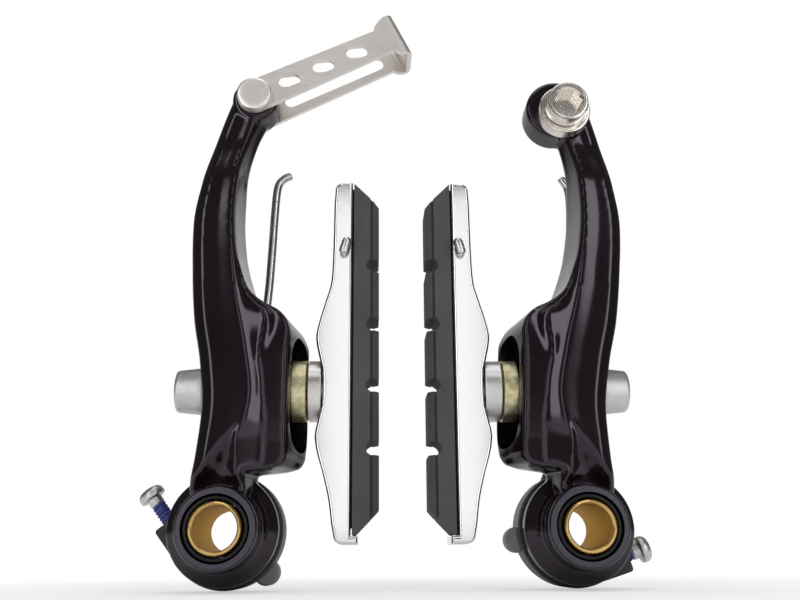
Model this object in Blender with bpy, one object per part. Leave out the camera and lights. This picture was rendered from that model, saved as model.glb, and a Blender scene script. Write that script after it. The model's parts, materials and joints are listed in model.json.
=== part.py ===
"""Mini linear-pull rim brake: two arms on parallel pivots, their pads and the cable link.

Metres, +Z up the arms, +X to the brake's right as its front is looked at, -Y towards the
viewer. The origin lies midway between the two pivot axes, in the plane of the frame bosses
that the pivot sleeves seat on. Each arm is built in its own frame: `out` runs away from the
brake's middle, `up` along the arm from its pivot axis, and y is shared with the brake.
"""
import math

import bmesh
import bpy
from mathutils import Matrix, Vector

# Clearance between pieces that touch
GAP = 0.0003

# Whole brake
PIVOT_SPACING = 0.0678
SIDES = {"left": -1.0, "right": 1.0}
ARM_LEAN = {"left": math.radians(0.0), "right": math.radians(3.0)}

# Pivot sleeve: a steel tube that the frame boss passes through
SLEEVE_BORE = 0.0081
SLEEVE_WALL = 0.00085
SLEEVE_LENGTH = 0.0220
SLEEVE_TEETH = 28
SLEEVE_TOOTH_DEPTH = 0.0003
SLEEVE_TOOTH_LENGTH = 0.0012

# Arm bush: a plastic liner that turns on the sleeve
BUSH_WALL = 0.0007

# Arm hub
HUB_WALL = 0.0014
HUB_FRONT = 0.0005
FLANGE_INSET = 0.0005
FLANGE_FRONT = -0.0130
HUB_EDGE = 0.0006

# Return spring and its case
WIRE = 0.0018
CASE_FRONT = -0.0080
CASE_BACK = -0.0004
CASE_WALL = 0.0009
CASE_RADIUS = 0.0111
CASE_RIM = 0.0011
CASE_TUBE_WALL = 0.00075
CASE_TURN = {"left": 0.0, "right": math.radians(-35.0)}
LUG_RADIUS = 0.0025
LUG_INSET = 0.0001
LUG_ANGLE = math.radians(225.0)
CASE_PIN_RADIUS = 0.0015
CASE_PIN_REACH = 0.0045
CASE_PIN_INSET = 0.0030
SPRING_REAR = -0.0027
SPRING_FRONT = -0.0056
SPRING_TAIL_ANGLE = math.radians(-26.0)
LEG_PLANE = 0.0001
LEG_SLOT_ROOM = 0.0006
LEG_SLOT_START = 0.0035

# Tension screw, which bears on the spring's tail
SCREW_RADIUS = 0.0015
SCREW_LENGTH = 0.0080
SCREW_HEAD_RADIUS = 0.0027
SCREW_HEAD_HEIGHT = 0.0021
SCREW_CROSS = 0.0028
SCREW_CROSS_WIDTH = 0.0007
SCREW_CROSS_DEPTH = 0.0011
SCREW_INSET = 0.0032
SCREW_HEADING = math.radians(52.8)
SCREW_Y = -0.0052
SCREW_TIP = {"left": 0.0060, "right": 0.0032}
TAB_FACE_INSET = 0.0028
TAB_BELOW = 0.0031
TAB_ABOVE = 0.0026
TAB_CORNER = 0.0006

# Arm
ARM_LENGTH = 0.0888
ARM_BACK = -0.0016
HOUSING_FACE = -0.0180
HOUSING_INNER = -0.0153
HOUSING_DRAFT = 0.0036
SPINE_FRONT = -0.0197
HEAD_FRONT = -0.0166
HEAD_THICKNESS = 0.0070

# Pad clamp: a slot in the arm, two pairs of ball washers and a barrel nut
POST_HEIGHT = 0.02685
POST_Y = -0.0098
POST_RADIUS = 0.0030
SLOT_TRAVEL_UP = 0.0044
HOUSING_CLEAR = 0.0034
HOUSING_FOOT = 0.0036
HOUSING_CAP = 0.0026
WASHER_RADIUS = 0.0061
WASHER_FLOOR = -0.0120
POCKET_RELIEF = 0.00015
DOME_RIM = 0.0030
DOME_CROWN = 0.0010
CUP_THICKNESS = {"left": 0.0026, "right": 0.0033}
OUTER_WASHER_RADIUS = 0.0053
OUTER_FLOOR = -0.0005
OUTER_DOME_RIM = 0.0014
OUTER_DOME_CROWN = 0.0008
OUTER_CUP_THICKNESS = {"left": 0.0031, "right": 0.0027}
NUT_LENGTH = 0.0056
NUT_RADIUS = 0.0047
NUT_END_RADIUS = 0.0042
NUT_SOCKET = 0.0050
NUT_SOCKET_DEPTH = 0.0020
NUT_WEB = 0.0004

# Brake shoe
SHOE_DEPTH = 0.0104
SHOE_ABOVE = 0.0430
SHOE_BELOW = 0.0296
SHOE_END_THICKNESS = 0.0092
SHOE_SEAT_THICKNESS = 0.0110
SHOE_BULGE_THICKNESS = 0.0125
RUBBER_THICKNESS = 0.0044
RUBBER_TOP_CHAMFER = 0.0050
RUBBER_BOTTOM_CHAMFER = 0.0046
RUBBER_EDGE_CHAMFER = 0.0013
GROOVE_WIDTH = 0.0026
GROOVE_DEPTH = 0.0026
GROOVE_PITCH = 0.0123
GROOVE_COUNT = 4
GROOVE_TOP = 0.0251
CHANNEL_DEPTH = 0.0026
CHANNEL_MOUTH = 0.0062
CHANNEL_FLOOR = 0.0078
POST_SEAT_DEPTH = 0.0032
PIN_HEIGHT = 0.0286
PIN_RADIUS = 0.0007
PIN_HEAD_LENGTH = 0.0046
PIN_HEAD_WIDTH = 0.0024
PIN_HEAD_HEIGHT = 0.0009

# Cable link: a folded sheet strap on a rivet through the left arm's head
LINK_PIN_OUT = -0.0034
LINK_PIN_BELOW_TIP = 0.0007
LINK_ANGLE = math.radians(26.3)
LINK_LENGTH = 0.0347
LINK_SHEET = 0.0010
LINK_HALF_WIDTH = 0.0036
LINK_FLARE = 0.0017
LINK_BEND = 0.0018
LINK_HOLE_LENGTH = 0.0047
LINK_HOLE_WIDTH = 0.0027
LINK_HOLE_PITCH = 0.0079
LINK_FIRST_HOLE = 0.0080
LINK_SEAT_RADIUS = 0.0022
LINK_SEAT_SLOT = 0.0022
RIVET_RADIUS = 0.0024
RIVET_HEAD_RADIUS = 0.0036
RIVET_HEAD_HEIGHT = 0.0011

# Cable anchor on the right arm's head
ANCHOR_OUT = -0.0040
ANCHOR_BELOW_TIP = 0.0042
EYE_OUT = -0.0051
EYE_BELOW_TIP = 0.0025
EYE_RADIUS = 0.0064
ANCHOR_WASHER_RADIUS = 0.0054
ANCHOR_WASHER_THICKNESS = 0.0029
ANCHOR_BOLT_RADIUS = 0.0030
ANCHOR_HEAD_RADIUS = 0.0042
ANCHOR_HEAD_HEIGHT = 0.0036
ANCHOR_SOCKET = 0.0050
ANCHOR_SOCKET_DEPTH = 0.0026

# Spring peg on each arm's back
PEG_OUT = 0.0053
PEG_BELOW_TIP = 0.0204
PEG_RADIUS = 0.0012
PEG_REACH = 0.0014

ROUND = 24
SMALL_ROUND = 16
HUB_ROUND = 40
CASE_ROUND = 32

# Sizes that follow from those above
SLEEVE_RADIUS = SLEEVE_BORE / 2 + SLEEVE_WALL
BUSH_BORE = SLEEVE_RADIUS + GAP
BUSH_RADIUS = BUSH_BORE + BUSH_WALL
HUB_BORE = BUSH_RADIUS + GAP
COLLAR_RADIUS = HUB_BORE + HUB_WALL
FLANGE_RADIUS = CASE_RADIUS - FLANGE_INSET
LUG_OFFSET = CASE_RADIUS - LUG_INSET
CASE_PIN_OFFSET = CASE_RADIUS - CASE_PIN_INSET
SCREW_OFFSET = CASE_RADIUS - SCREW_INSET
TAB_FACE = CASE_RADIUS - TAB_FACE_INSET
HUB_FACE = -(SLEEVE_LENGTH - HUB_FRONT)
HUB_BACK = CASE_FRONT - GAP
HEAD_BACK = HEAD_FRONT + HEAD_THICKNESS
SLOT_HALF_WIDTH = POST_RADIUS + GAP
WASHER_POCKET = WASHER_RADIUS + GAP
OUTER_POCKET = OUTER_WASHER_RADIUS + GAP
CASE_TUBE_RADIUS = SLEEVE_RADIUS + GAP + CASE_TUBE_WALL
COIL_RADIUS = (CASE_TUBE_RADIUS + CASE_RADIUS - CASE_RIM) / 2
INNER_DOME_END = WASHER_FLOOR - GAP - DOME_RIM
HOUSING_LOW = COLLAR_RADIUS + HOUSING_CLEAR
SLOT_LOW = HOUSING_LOW + HOUSING_FOOT
SLOT_TRAVEL_DOWN = POST_HEIGHT - WASHER_POCKET - SLOT_LOW
SLOT_HIGH = POST_HEIGHT + SLOT_TRAVEL_UP + WASHER_POCKET
HOUSING_HIGH = SLOT_HIGH + HOUSING_CAP
LINK_PIN_UP = ARM_LENGTH - LINK_PIN_BELOW_TIP
ANCHOR_UP = ARM_LENGTH - ANCHOR_BELOW_TIP
EYE_UP = ARM_LENGTH - EYE_BELOW_TIP
PEG_UP = ARM_LENGTH - PEG_BELOW_TIP


def nut_start(side):
    """Place along `out` of the barrel nut's inner end."""
    return OUTER_FLOOR + GAP + OUTER_DOME_RIM + GAP + OUTER_CUP_THICKNESS[side] + GAP


def shoe_seat(side):
    """Place along `out` of the shoe's washer seat."""
    return INNER_DOME_END - GAP - CUP_THICKNESS[side] - GAP


# Materials


def material(name, colour, roughness, metallic=0.0):
    """A Principled material."""
    made = bpy.data.materials.new(name)
    made.use_nodes = True
    shader = made.node_tree.nodes["Principled BSDF"]
    shader.inputs["Base Color"].default_value = (*colour, 1.0)
    shader.inputs["Roughness"].default_value = roughness
    shader.inputs["Metallic"].default_value = metallic
    return made


def finishes():
    """The brake's finishes by name."""
    return {
        "black_gloss": material("black_gloss", (0.012, 0.010, 0.011), 0.18),
        "black_plastic": material("black_plastic", (0.03, 0.03, 0.03), 0.55),
        "liner_plastic": material("liner_plastic", (0.015, 0.013, 0.012), 0.35),
        "gold_zinc": material("gold_zinc", (0.80, 0.52, 0.20), 0.22, 1.0),
        "yellow_zinc": material("yellow_zinc", (0.60, 0.52, 0.30), 0.35, 1.0),
        "spring_steel": material("spring_steel", (0.62, 0.62, 0.62), 0.25, 1.0),
        "bright_steel": material("bright_steel", (0.75, 0.74, 0.72), 0.25, 1.0),
        "satin_steel": material("satin_steel", (0.72, 0.70, 0.68), 0.35, 1.0),
        "polished_alloy": material("polished_alloy", (0.88, 0.88, 0.88), 0.15, 1.0),
        "rubber": material("rubber", (0.045, 0.045, 0.047), 0.75),
    }


# Mesh helpers


def finish_object(name, bm, finish, smooth_angle=math.radians(35)):
    """Turn a bmesh into a named object with outward faces."""
    bmesh.ops.recalc_face_normals(bm, faces=bm.faces)
    mesh = bpy.data.meshes.new(name)
    bm.to_mesh(mesh)
    bm.free()
    mesh.shade_smooth()
    mesh.set_sharp_from_angle(angle=smooth_angle)
    if finish is not None:
        mesh.materials.append(finish)
    made = bpy.data.objects.new(name, mesh)
    bpy.context.scene.collection.objects.link(made)
    return made


def loft(bm, rings):
    """Join rings of equally many points and close both ends."""
    rows = [[bm.verts.new(point) for point in ring] for ring in rings]
    count = len(rows[0])
    for low, high in zip(rows, rows[1:]):
        for i in range(count):
            j = (i + 1) % count
            bm.faces.new((low[i], low[j], high[j], high[i]))
    bm.faces.new(list(reversed(rows[0])))
    bm.faces.new(rows[-1])
    return bm


def turned(profile, segments, axis="Y", radius_at=None):
    """A ring turned from a closed profile of (radius, place) points about the Y or X axis.

    radius_at changes a radius by profile point and angle, for serrations.
    """
    bm = bmesh.new()
    columns = []
    for k in range(segments):
        angle = 2 * math.pi * k / segments
        column = []
        for i, (radius, place) in enumerate(profile):
            if radius_at is not None:
                radius = radius_at(i, k, radius)
            across = radius * math.cos(angle)
            along = radius * math.sin(angle)
            point = (across, place, along) if axis == "Y" else (place, across, along)
            column.append(bm.verts.new(point))
        columns.append(column)
    count = len(profile)
    for k in range(segments):
        here, there = columns[k], columns[(k + 1) % segments]
        for i in range(count):
            j = (i + 1) % count
            bm.faces.new((here[i], here[j], there[j], there[i]))
    return bm


def rod(profile, segments, axis="Y"):
    """A solid turned piece from an open profile of (radius, place) points."""
    rings = []
    for radius, place in profile:
        ring = []
        for k in range(segments):
            angle = 2 * math.pi * k / segments
            across = radius * math.cos(angle)
            along = radius * math.sin(angle)
            ring.append((across, place, along) if axis == "Y" else (place, across, along))
        rings.append(ring)
    return loft(bmesh.new(), rings)


def prism(outline, low, high, axis="Y"):
    """An outline of (a, b) points pushed from low to high along the named axis."""
    order = {
        "Y": lambda a, b, c: (a, c, b),
        "X": lambda a, b, c: (c, a, b),
        "Z": lambda a, b, c: (a, b, c),
    }[axis]
    rings = [[order(a, b, place) for a, b in outline] for place in (low, high)]
    return loft(bmesh.new(), rings)


def block(low, high):
    """A box between two corners."""
    outline = [(low[0], low[2]), (high[0], low[2]), (high[0], high[2]), (low[0], high[2])]
    return prism(outline, low[1], high[1])


def arc(centre, radius, start, end, steps):
    """Points on an arc of a circle."""
    return [
        (
            centre[0] + radius * math.cos(start + (end - start) * i / steps),
            centre[1] + radius * math.sin(start + (end - start) * i / steps),
        )
        for i in range(steps + 1)
    ]


def obround(centre, half_width, below, above, steps=8):
    """A slot outline with round ends, standing upright in (a, b)."""
    low = (centre[0], centre[1] - below)
    high = (centre[0], centre[1] + above)
    return (arc(high, half_width, 0, math.pi, steps)
            + arc(low, half_width, math.pi, 2 * math.pi, steps))


def hexagon(centre, across_flats):
    """A hexagon outline."""
    radius = across_flats / math.sqrt(3)
    return [
        (centre[0] + radius * math.cos(math.radians(60 * k)),
         centre[1] + radius * math.sin(math.radians(60 * k)))
        for k in range(6)
    ]


def turn(bm, angle, axis="Y", centre=(0, 0, 0)):
    """Turn a bmesh about an axis through a centre."""
    bmesh.ops.rotate(bm, cent=centre, matrix=Matrix.Rotation(angle, 3, axis), verts=bm.verts)
    return bm


def shift(bm, vector):
    """Move a bmesh."""
    bmesh.ops.translate(bm, vec=vector, verts=bm.verts)
    return bm


def to_side(bm, side):
    """Mirror a shape built for the right arm when it goes to the left."""
    if side == "left":
        bmesh.ops.scale(bm, vec=(-1, 1, 1), verts=bm.verts)
    return bm


def combine(target, name, bm, operation):
    """Add a bmesh to a target, or cut it out, with an exact Boolean."""
    tool = finish_object(name, bm, None)
    tool.hide_render = True
    tool.display_type = "WIRE"
    tool.parent = target
    modifier = target.modifiers.new(name, "BOOLEAN")
    modifier.operation = operation
    modifier.solver = "EXACT"
    modifier.object = tool
    return target


def cut(target, name, bm):
    """Cut a bmesh out of a target."""
    return combine(target, name, bm, "DIFFERENCE")


def join(target, name, bm):
    """Fuse a bmesh to a target."""
    return combine(target, name, bm, "UNION")


def frame_empty(name, place, lean=0.0):
    """An empty that carries pieces, turned about the Y axis."""
    made = bpy.data.objects.new(name, None)
    made.location = place
    made.rotation_euler = (0, lean, 0)
    bpy.context.scene.collection.objects.link(made)
    return made


def follow(points, value):
    """Smooth value from (key, value) pairs that never overshoots between two of them."""
    keys = [point[0] for point in points]
    values = [point[1] for point in points]
    if value <= keys[0]:
        return values[0]
    if value >= keys[-1]:
        return values[-1]
    slopes = [(values[i + 1] - values[i]) / (keys[i + 1] - keys[i]) for i in range(len(keys) - 1)]
    tangents = [slopes[0]]
    for before, after in zip(slopes, slopes[1:]):
        same_way = before * after > 0
        tangents.append(2 * before * after / (before + after) if same_way else 0.0)
    tangents.append(slopes[-1])
    i = max(k for k in range(len(keys) - 1) if keys[k] <= value)
    span = keys[i + 1] - keys[i]
    t = (value - keys[i]) / span
    return ((2 * t**3 - 3 * t**2 + 1) * values[i] + (t**3 - 2 * t**2 + t) * span * tangents[i]
            + (3 * t**2 - 2 * t**3) * values[i + 1] + (t**3 - t**2) * span * tangents[i + 1])


# Arm


def up_the_arm(share):
    """Height of a share of the way from the top of the slot housing to the arm's head."""
    return HOUSING_HIGH + share * (ARM_LENGTH - HOUSING_HIGH)


def arm_outer_edge(up):
    """Outer edge of the arm as its front is looked at."""
    return follow([
        (COLLAR_RADIUS, 0.0061),
        (HOUSING_LOW + 0.0030, 0.0051),
        (POST_HEIGHT - 0.0040, 0.0044),
        (POST_HEIGHT + 0.0045, 0.0052),
        (HOUSING_HIGH, 0.0068),
        (up_the_arm(0.18), 0.0076),
        (up_the_arm(0.41), 0.0081),
        (up_the_arm(0.60), 0.0070),
        (up_the_arm(0.79), 0.0048),
        (ARM_LENGTH, 0.0016),
        (ARM_LENGTH + 0.0020, 0.0008),
        (ARM_LENGTH + 0.0036, -0.0012),
    ], up)


def arm_inner_edge(up):
    """Inner edge of the arm: the slot housing below and the bare spine above."""
    return follow([
        (COLLAR_RADIUS, -0.0062),
        (HOUSING_LOW - 0.0004, -0.0065),
        (HOUSING_LOW, -0.0105),
        (HOUSING_LOW + 0.0008, HOUSING_INNER + 0.0016),
        (HOUSING_LOW + 0.0036, HOUSING_INNER),
        (HOUSING_HIGH - 0.0042, HOUSING_INNER),
        (HOUSING_HIGH - 0.0010, HOUSING_INNER + 0.0012),
        (HOUSING_HIGH + 0.0014, HOUSING_INNER + 0.0036),
        (HOUSING_HIGH + 0.0030, HOUSING_INNER + 0.0070),
        (HOUSING_HIGH + 0.0056, HOUSING_INNER + 0.0104),
        (up_the_arm(0.20), -0.0032),
        (up_the_arm(0.34), -0.0016),
        (up_the_arm(0.48), -0.0011),
        (up_the_arm(0.64), -0.0016),
        (up_the_arm(0.80), -0.0039),
        (up_the_arm(0.94), -0.0068),
        (ARM_LENGTH, -0.0078),
        (ARM_LENGTH + 0.0036, -0.0060),
    ], up)


def arm_ridge(up):
    """Place across the arm of the ridge where the spine stands proudest."""
    return follow([
        (HOUSING_LOW + 0.0020, -0.0062),
        (POST_HEIGHT - 0.0046, -0.0050),
        (POST_HEIGHT + 0.0070, -0.0032),
        (HOUSING_HIGH + 0.0070, -0.0011),
        (up_the_arm(0.48), 0.0002),
        (up_the_arm(0.64), -0.0002),
        (up_the_arm(0.80), -0.0020),
        (ARM_LENGTH, -0.0050),
    ], up)


def arm_front(up):
    """How far forward the ridge stands."""
    return follow([
        (COLLAR_RADIUS, HOUSING_FACE + 0.0006),
        (HOUSING_LOW + 0.0050, SPINE_FRONT + 0.0004),
        (POST_HEIGHT, SPINE_FRONT),
        (up_the_arm(0.25), SPINE_FRONT + 0.0003),
        (up_the_arm(0.60), HEAD_FRONT - 0.0013),
        (up_the_arm(0.82), HEAD_FRONT + 0.0002),
        (ARM_LENGTH, HEAD_FRONT + 0.0002),
    ], up)


def arm_back(up):
    """How far back the arm reaches: it clears the spring case below and the link above."""
    clear = CASE_RADIUS + GAP
    return follow([
        (clear, HUB_BACK - GAP),
        (clear + 0.0020, HUB_BACK + 0.0022),
        (clear + 0.0050, ARM_BACK - 0.0012),
        (clear + 0.0085, ARM_BACK),
        (HOUSING_HIGH, ARM_BACK),
        (up_the_arm(0.50), ARM_BACK - 0.0024),
        (up_the_arm(0.84), HEAD_BACK - 0.0003),
        (ARM_LENGTH, HEAD_BACK - 0.0003),
    ], up)


def neck_setback(out, y, up, back):
    """How far a front point drops back below the slanting end of the spine, above the hub."""
    edge_up = HOUSING_LOW + 0.0045 - 0.70 * (out + 0.0020)
    below = min(max((edge_up - up) / 0.0022, 0.0), 1.0)
    forward = min(max((back - 0.0040 - y) / 0.0060, 0.0), 1.0)
    return 0.0026 * below * forward


def arm_section(up):
    """The arm's cross-section at a height, as (out, y) points round it."""
    outer = arm_outer_edge(up)
    inner = arm_inner_edge(up)
    ridge = max(arm_ridge(up), inner + 0.0012)
    front = arm_front(up)
    back = arm_back(up)
    in_housing = follow([(HOUSING_HIGH - 0.0045, 1.0), (HOUSING_HIGH + 0.0050, 0.0)], up)
    in_scoop = follow([
        (HOUSING_HIGH - 0.0060, 0.0),
        (HOUSING_HIGH + 0.0030, 1.0),
        (up_the_arm(0.32), 0.0),
    ], up)
    draft = min(HOUSING_DRAFT * in_housing + 0.0011 * (1 - in_housing), 0.6 * (ridge - inner))
    edge = inner + draft
    face = HOUSING_FACE * in_housing + (front + 0.0010) * (1 - in_housing)
    step = 0.0007 + 0.0016 * follow([(HOUSING_LOW + 0.004, 1.0), (POST_HEIGHT + 0.002, 0.0)], up)
    reach = max(ridge - edge, 0.0004)
    valley = face + 0.0028 * in_scoop
    points = [
        (outer - 0.0016, back),
        (outer - 0.0005, back - 0.0005),
        (outer, back - 0.0016),
        (outer, (back + front) / 2),
        (outer, front + 0.0030),
        (outer - 0.0004, front + 0.0016),
        (outer - 0.0013, front + 0.0008),
        (outer * 0.45 + ridge * 0.55, front + 0.0003),
        (ridge, front),
        (ridge - min(step * 0.4, reach * 0.15), front + (valley - front) * 0.25),
        (ridge - min(step, reach * 0.3), valley),
        (ridge - reach * 0.55, valley),
        (ridge - reach * 0.85, face + 0.0004 * in_scoop),
        (edge, face + 0.0002),
        (edge - draft * 0.12, face + 0.0010),
        (inner + draft * 0.45, face + (back - face) * 0.50),
        (inner + draft * 0.06, back - 0.0024),
        (inner + 0.0005, back - 0.0006),
        (inner + 0.0017, back),
    ]
    return [(out, y + neck_setback(out, y, up, back)) for out, y in points]


def arm_heights():
    """Section heights, closer where the outline turns fast."""
    heights = []
    for low, high, count in (
        (COLLAR_RADIUS - 0.0014, HOUSING_LOW - 0.0006, 2),
        (HOUSING_LOW - 0.0003, HOUSING_LOW + 0.0042, 7),
        (HOUSING_LOW + 0.0060, HOUSING_HIGH - 0.0070, 6),
        (HOUSING_HIGH - 0.0054, HOUSING_HIGH + 0.0060, 10),
        (HOUSING_HIGH + 0.0090, ARM_LENGTH - 0.0010, 12),
        (ARM_LENGTH + 0.0006, ARM_LENGTH + 0.0036, 4),
    ):
        heights += [low + (high - low) * i / (count - 1) for i in range(count)]
    return heights


def hub_profile():
    """Outer profile of the arm's hub, from its back to its front, as (radius, y)."""
    edge = HUB_EDGE
    return [
        (FLANGE_RADIUS - edge, HUB_BACK),
        (FLANGE_RADIUS, HUB_BACK - edge),
        (FLANGE_RADIUS, FLANGE_FRONT + edge),
        (FLANGE_RADIUS - edge * 0.4, FLANGE_FRONT + edge * 0.2),
        (FLANGE_RADIUS - edge * 1.2, FLANGE_FRONT - edge * 0.2),
        (COLLAR_RADIUS + 0.0011, FLANGE_FRONT - 0.0010),
        (COLLAR_RADIUS + 0.0003, FLANGE_FRONT - 0.0021),
        (COLLAR_RADIUS, FLANGE_FRONT - 0.0036),
        (COLLAR_RADIUS, HUB_FACE + edge),
        (COLLAR_RADIUS - edge * 0.35, HUB_FACE + edge * 0.35),
        (COLLAR_RADIUS - edge, HUB_FACE),
    ]


def make_arm(side, finish):
    """An arm: its spine and slot housing, hub and head, with its bore and slot cut."""
    rings = [[(out, y, up) for out, y in arm_section(up)] for up in arm_heights()]
    arm = finish_object(f"{side}_arm", to_side(loft(bmesh.new(), rings), side), finish)
    join(arm, f"{side}_hub", to_side(rod(hub_profile(), HUB_ROUND), side))
    if side == "left":
        head_at, head_radius = (LINK_PIN_OUT, LINK_PIN_UP), LINK_HALF_WIDTH + 0.0012
        hole_at, hole = head_at, RIVET_RADIUS + GAP
    else:
        head_at, head_radius = (EYE_OUT, EYE_UP), EYE_RADIUS
        hole_at, hole = (ANCHOR_OUT, ANCHOR_UP), ANCHOR_BOLT_RADIUS + GAP
    edge = 0.0005
    head = rod([
        (head_radius - edge, HEAD_BACK),
        (head_radius, HEAD_BACK - edge),
        (head_radius, HEAD_FRONT + edge),
        (head_radius - edge, HEAD_FRONT),
    ], ROUND)
    join(arm, f"{side}_head", to_side(shift(head, (head_at[0], 0, head_at[1])), side))
    bore = rod([(HUB_BORE, 0.0), (HUB_BORE, -SLEEVE_LENGTH - 0.004)], HUB_ROUND)
    cut(arm, f"{side}_hub_bore", bore)
    pin_hole = rod([(hole, 0.0), (hole, SPINE_FRONT - 0.004)], SMALL_ROUND)
    cut(arm, f"{side}_head_hole", to_side(shift(pin_hole, (hole_at[0], 0, hole_at[1])), side))
    centre = (POST_Y, POST_HEIGHT)
    reach = 0.012
    for name, half_width, low, high in (
        ("slot", SLOT_HALF_WIDTH, WASHER_FLOOR - reach, OUTER_FLOOR + reach),
        ("washer_pocket", WASHER_POCKET, WASHER_FLOOR - reach, WASHER_FLOOR + POCKET_RELIEF),
        ("nut_pocket", OUTER_POCKET, OUTER_FLOOR - POCKET_RELIEF, OUTER_FLOOR + reach),
    ):
        outline = obround(centre, half_width, SLOT_TRAVEL_DOWN, SLOT_TRAVEL_UP)
        cut(arm, f"{side}_{name}", to_side(prism(outline, low, high, "X"), side))
    peg_hole = rod([
        (PEG_RADIUS + GAP, ARM_BACK + 0.004),
        (PEG_RADIUS + GAP, arm_back(PEG_UP) - 0.0040),
    ], SMALL_ROUND)
    cut(arm, f"{side}_peg_hole", to_side(shift(peg_hole, (PEG_OUT, 0, PEG_UP)), side))
    return arm


def make_bush(side, finish):
    """The plastic liner in the arm's hub."""
    front = HUB_FACE + 0.0004
    back = HUB_BACK - GAP
    profile = [
        (BUSH_BORE, back), (BUSH_RADIUS, back),
        (BUSH_RADIUS, front + 0.0003), (BUSH_RADIUS - 0.0003, front), (BUSH_BORE, front),
    ]
    return finish_object(f"{side}_arm_bush", turned(profile, ROUND), finish)


def make_spring_peg(side, finish):
    """The mushroom peg on the arm's back that the spring's leg hooks behind."""
    seat = arm_back(PEG_UP)
    foot = seat - 0.0040 + GAP
    tip = LEG_PLANE + WIRE / 2 + PEG_REACH
    head = 0.0009
    bm = rod([
        (PEG_RADIUS - 0.0003, foot), (PEG_RADIUS, foot + 0.0003),
        (PEG_RADIUS, tip - head), (PEG_RADIUS + head * 0.8, tip - head * 0.6),
        (PEG_RADIUS + head * 0.8, tip - head * 0.3), (PEG_RADIUS, tip),
    ], SMALL_ROUND)
    return finish_object(f"{side}_spring_peg", to_side(shift(bm, (PEG_OUT, 0, PEG_UP)), side), finish)


# Pivot pieces, which stay with the frame


def make_sleeve(side, finish):
    """The pivot sleeve, with the serrated front edge that grips under the frame bolt."""
    bore = SLEEVE_BORE / 2
    chamfer = SLEEVE_WALL * 0.3
    teeth_start = -(SLEEVE_LENGTH - SLEEVE_TOOTH_LENGTH)

    def serrate(point, column, radius):
        toothed = point in (3, 4)
        return radius - (SLEEVE_TOOTH_DEPTH if toothed and column % 2 else 0.0)

    profile = [
        (bore, 0.0), (SLEEVE_RADIUS, 0.0), (SLEEVE_RADIUS, teeth_start + 0.0002),
        (SLEEVE_RADIUS, teeth_start), (SLEEVE_RADIUS - chamfer, -SLEEVE_LENGTH),
        (bore + chamfer, -SLEEVE_LENGTH), (bore, -SLEEVE_LENGTH + chamfer),
    ]
    bm = turned(profile, 2 * SLEEVE_TEETH, radius_at=serrate)
    return finish_object(f"{side}_pivot_sleeve", bm, finish)


def screw_line(distance, beside=0.0):
    """A point on the tension screw's axis, at a distance along it from its foot.

    The foot is the axis's nearest point to the pivot. `beside` steps below the axis.
    """
    heading = Vector((math.cos(SCREW_HEADING), math.sin(SCREW_HEADING)))
    below = Vector((heading.y, -heading.x))
    return below * (SCREW_OFFSET + beside) + heading * distance


def screw_pose(bm, distance):
    """Lay a piece that was turned about X on the tension screw's axis, tip at distance."""
    turn(bm, -SCREW_HEADING, "Y")
    at = screw_line(distance)
    return shift(bm, (at.x, SCREW_Y, at.y))


def case_place(bm, side):
    """Turn a piece of the spring case to the case's own rest angle, on its side."""
    turn(bm, -CASE_TURN[side], "Y")
    return to_side(bm, side)


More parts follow.
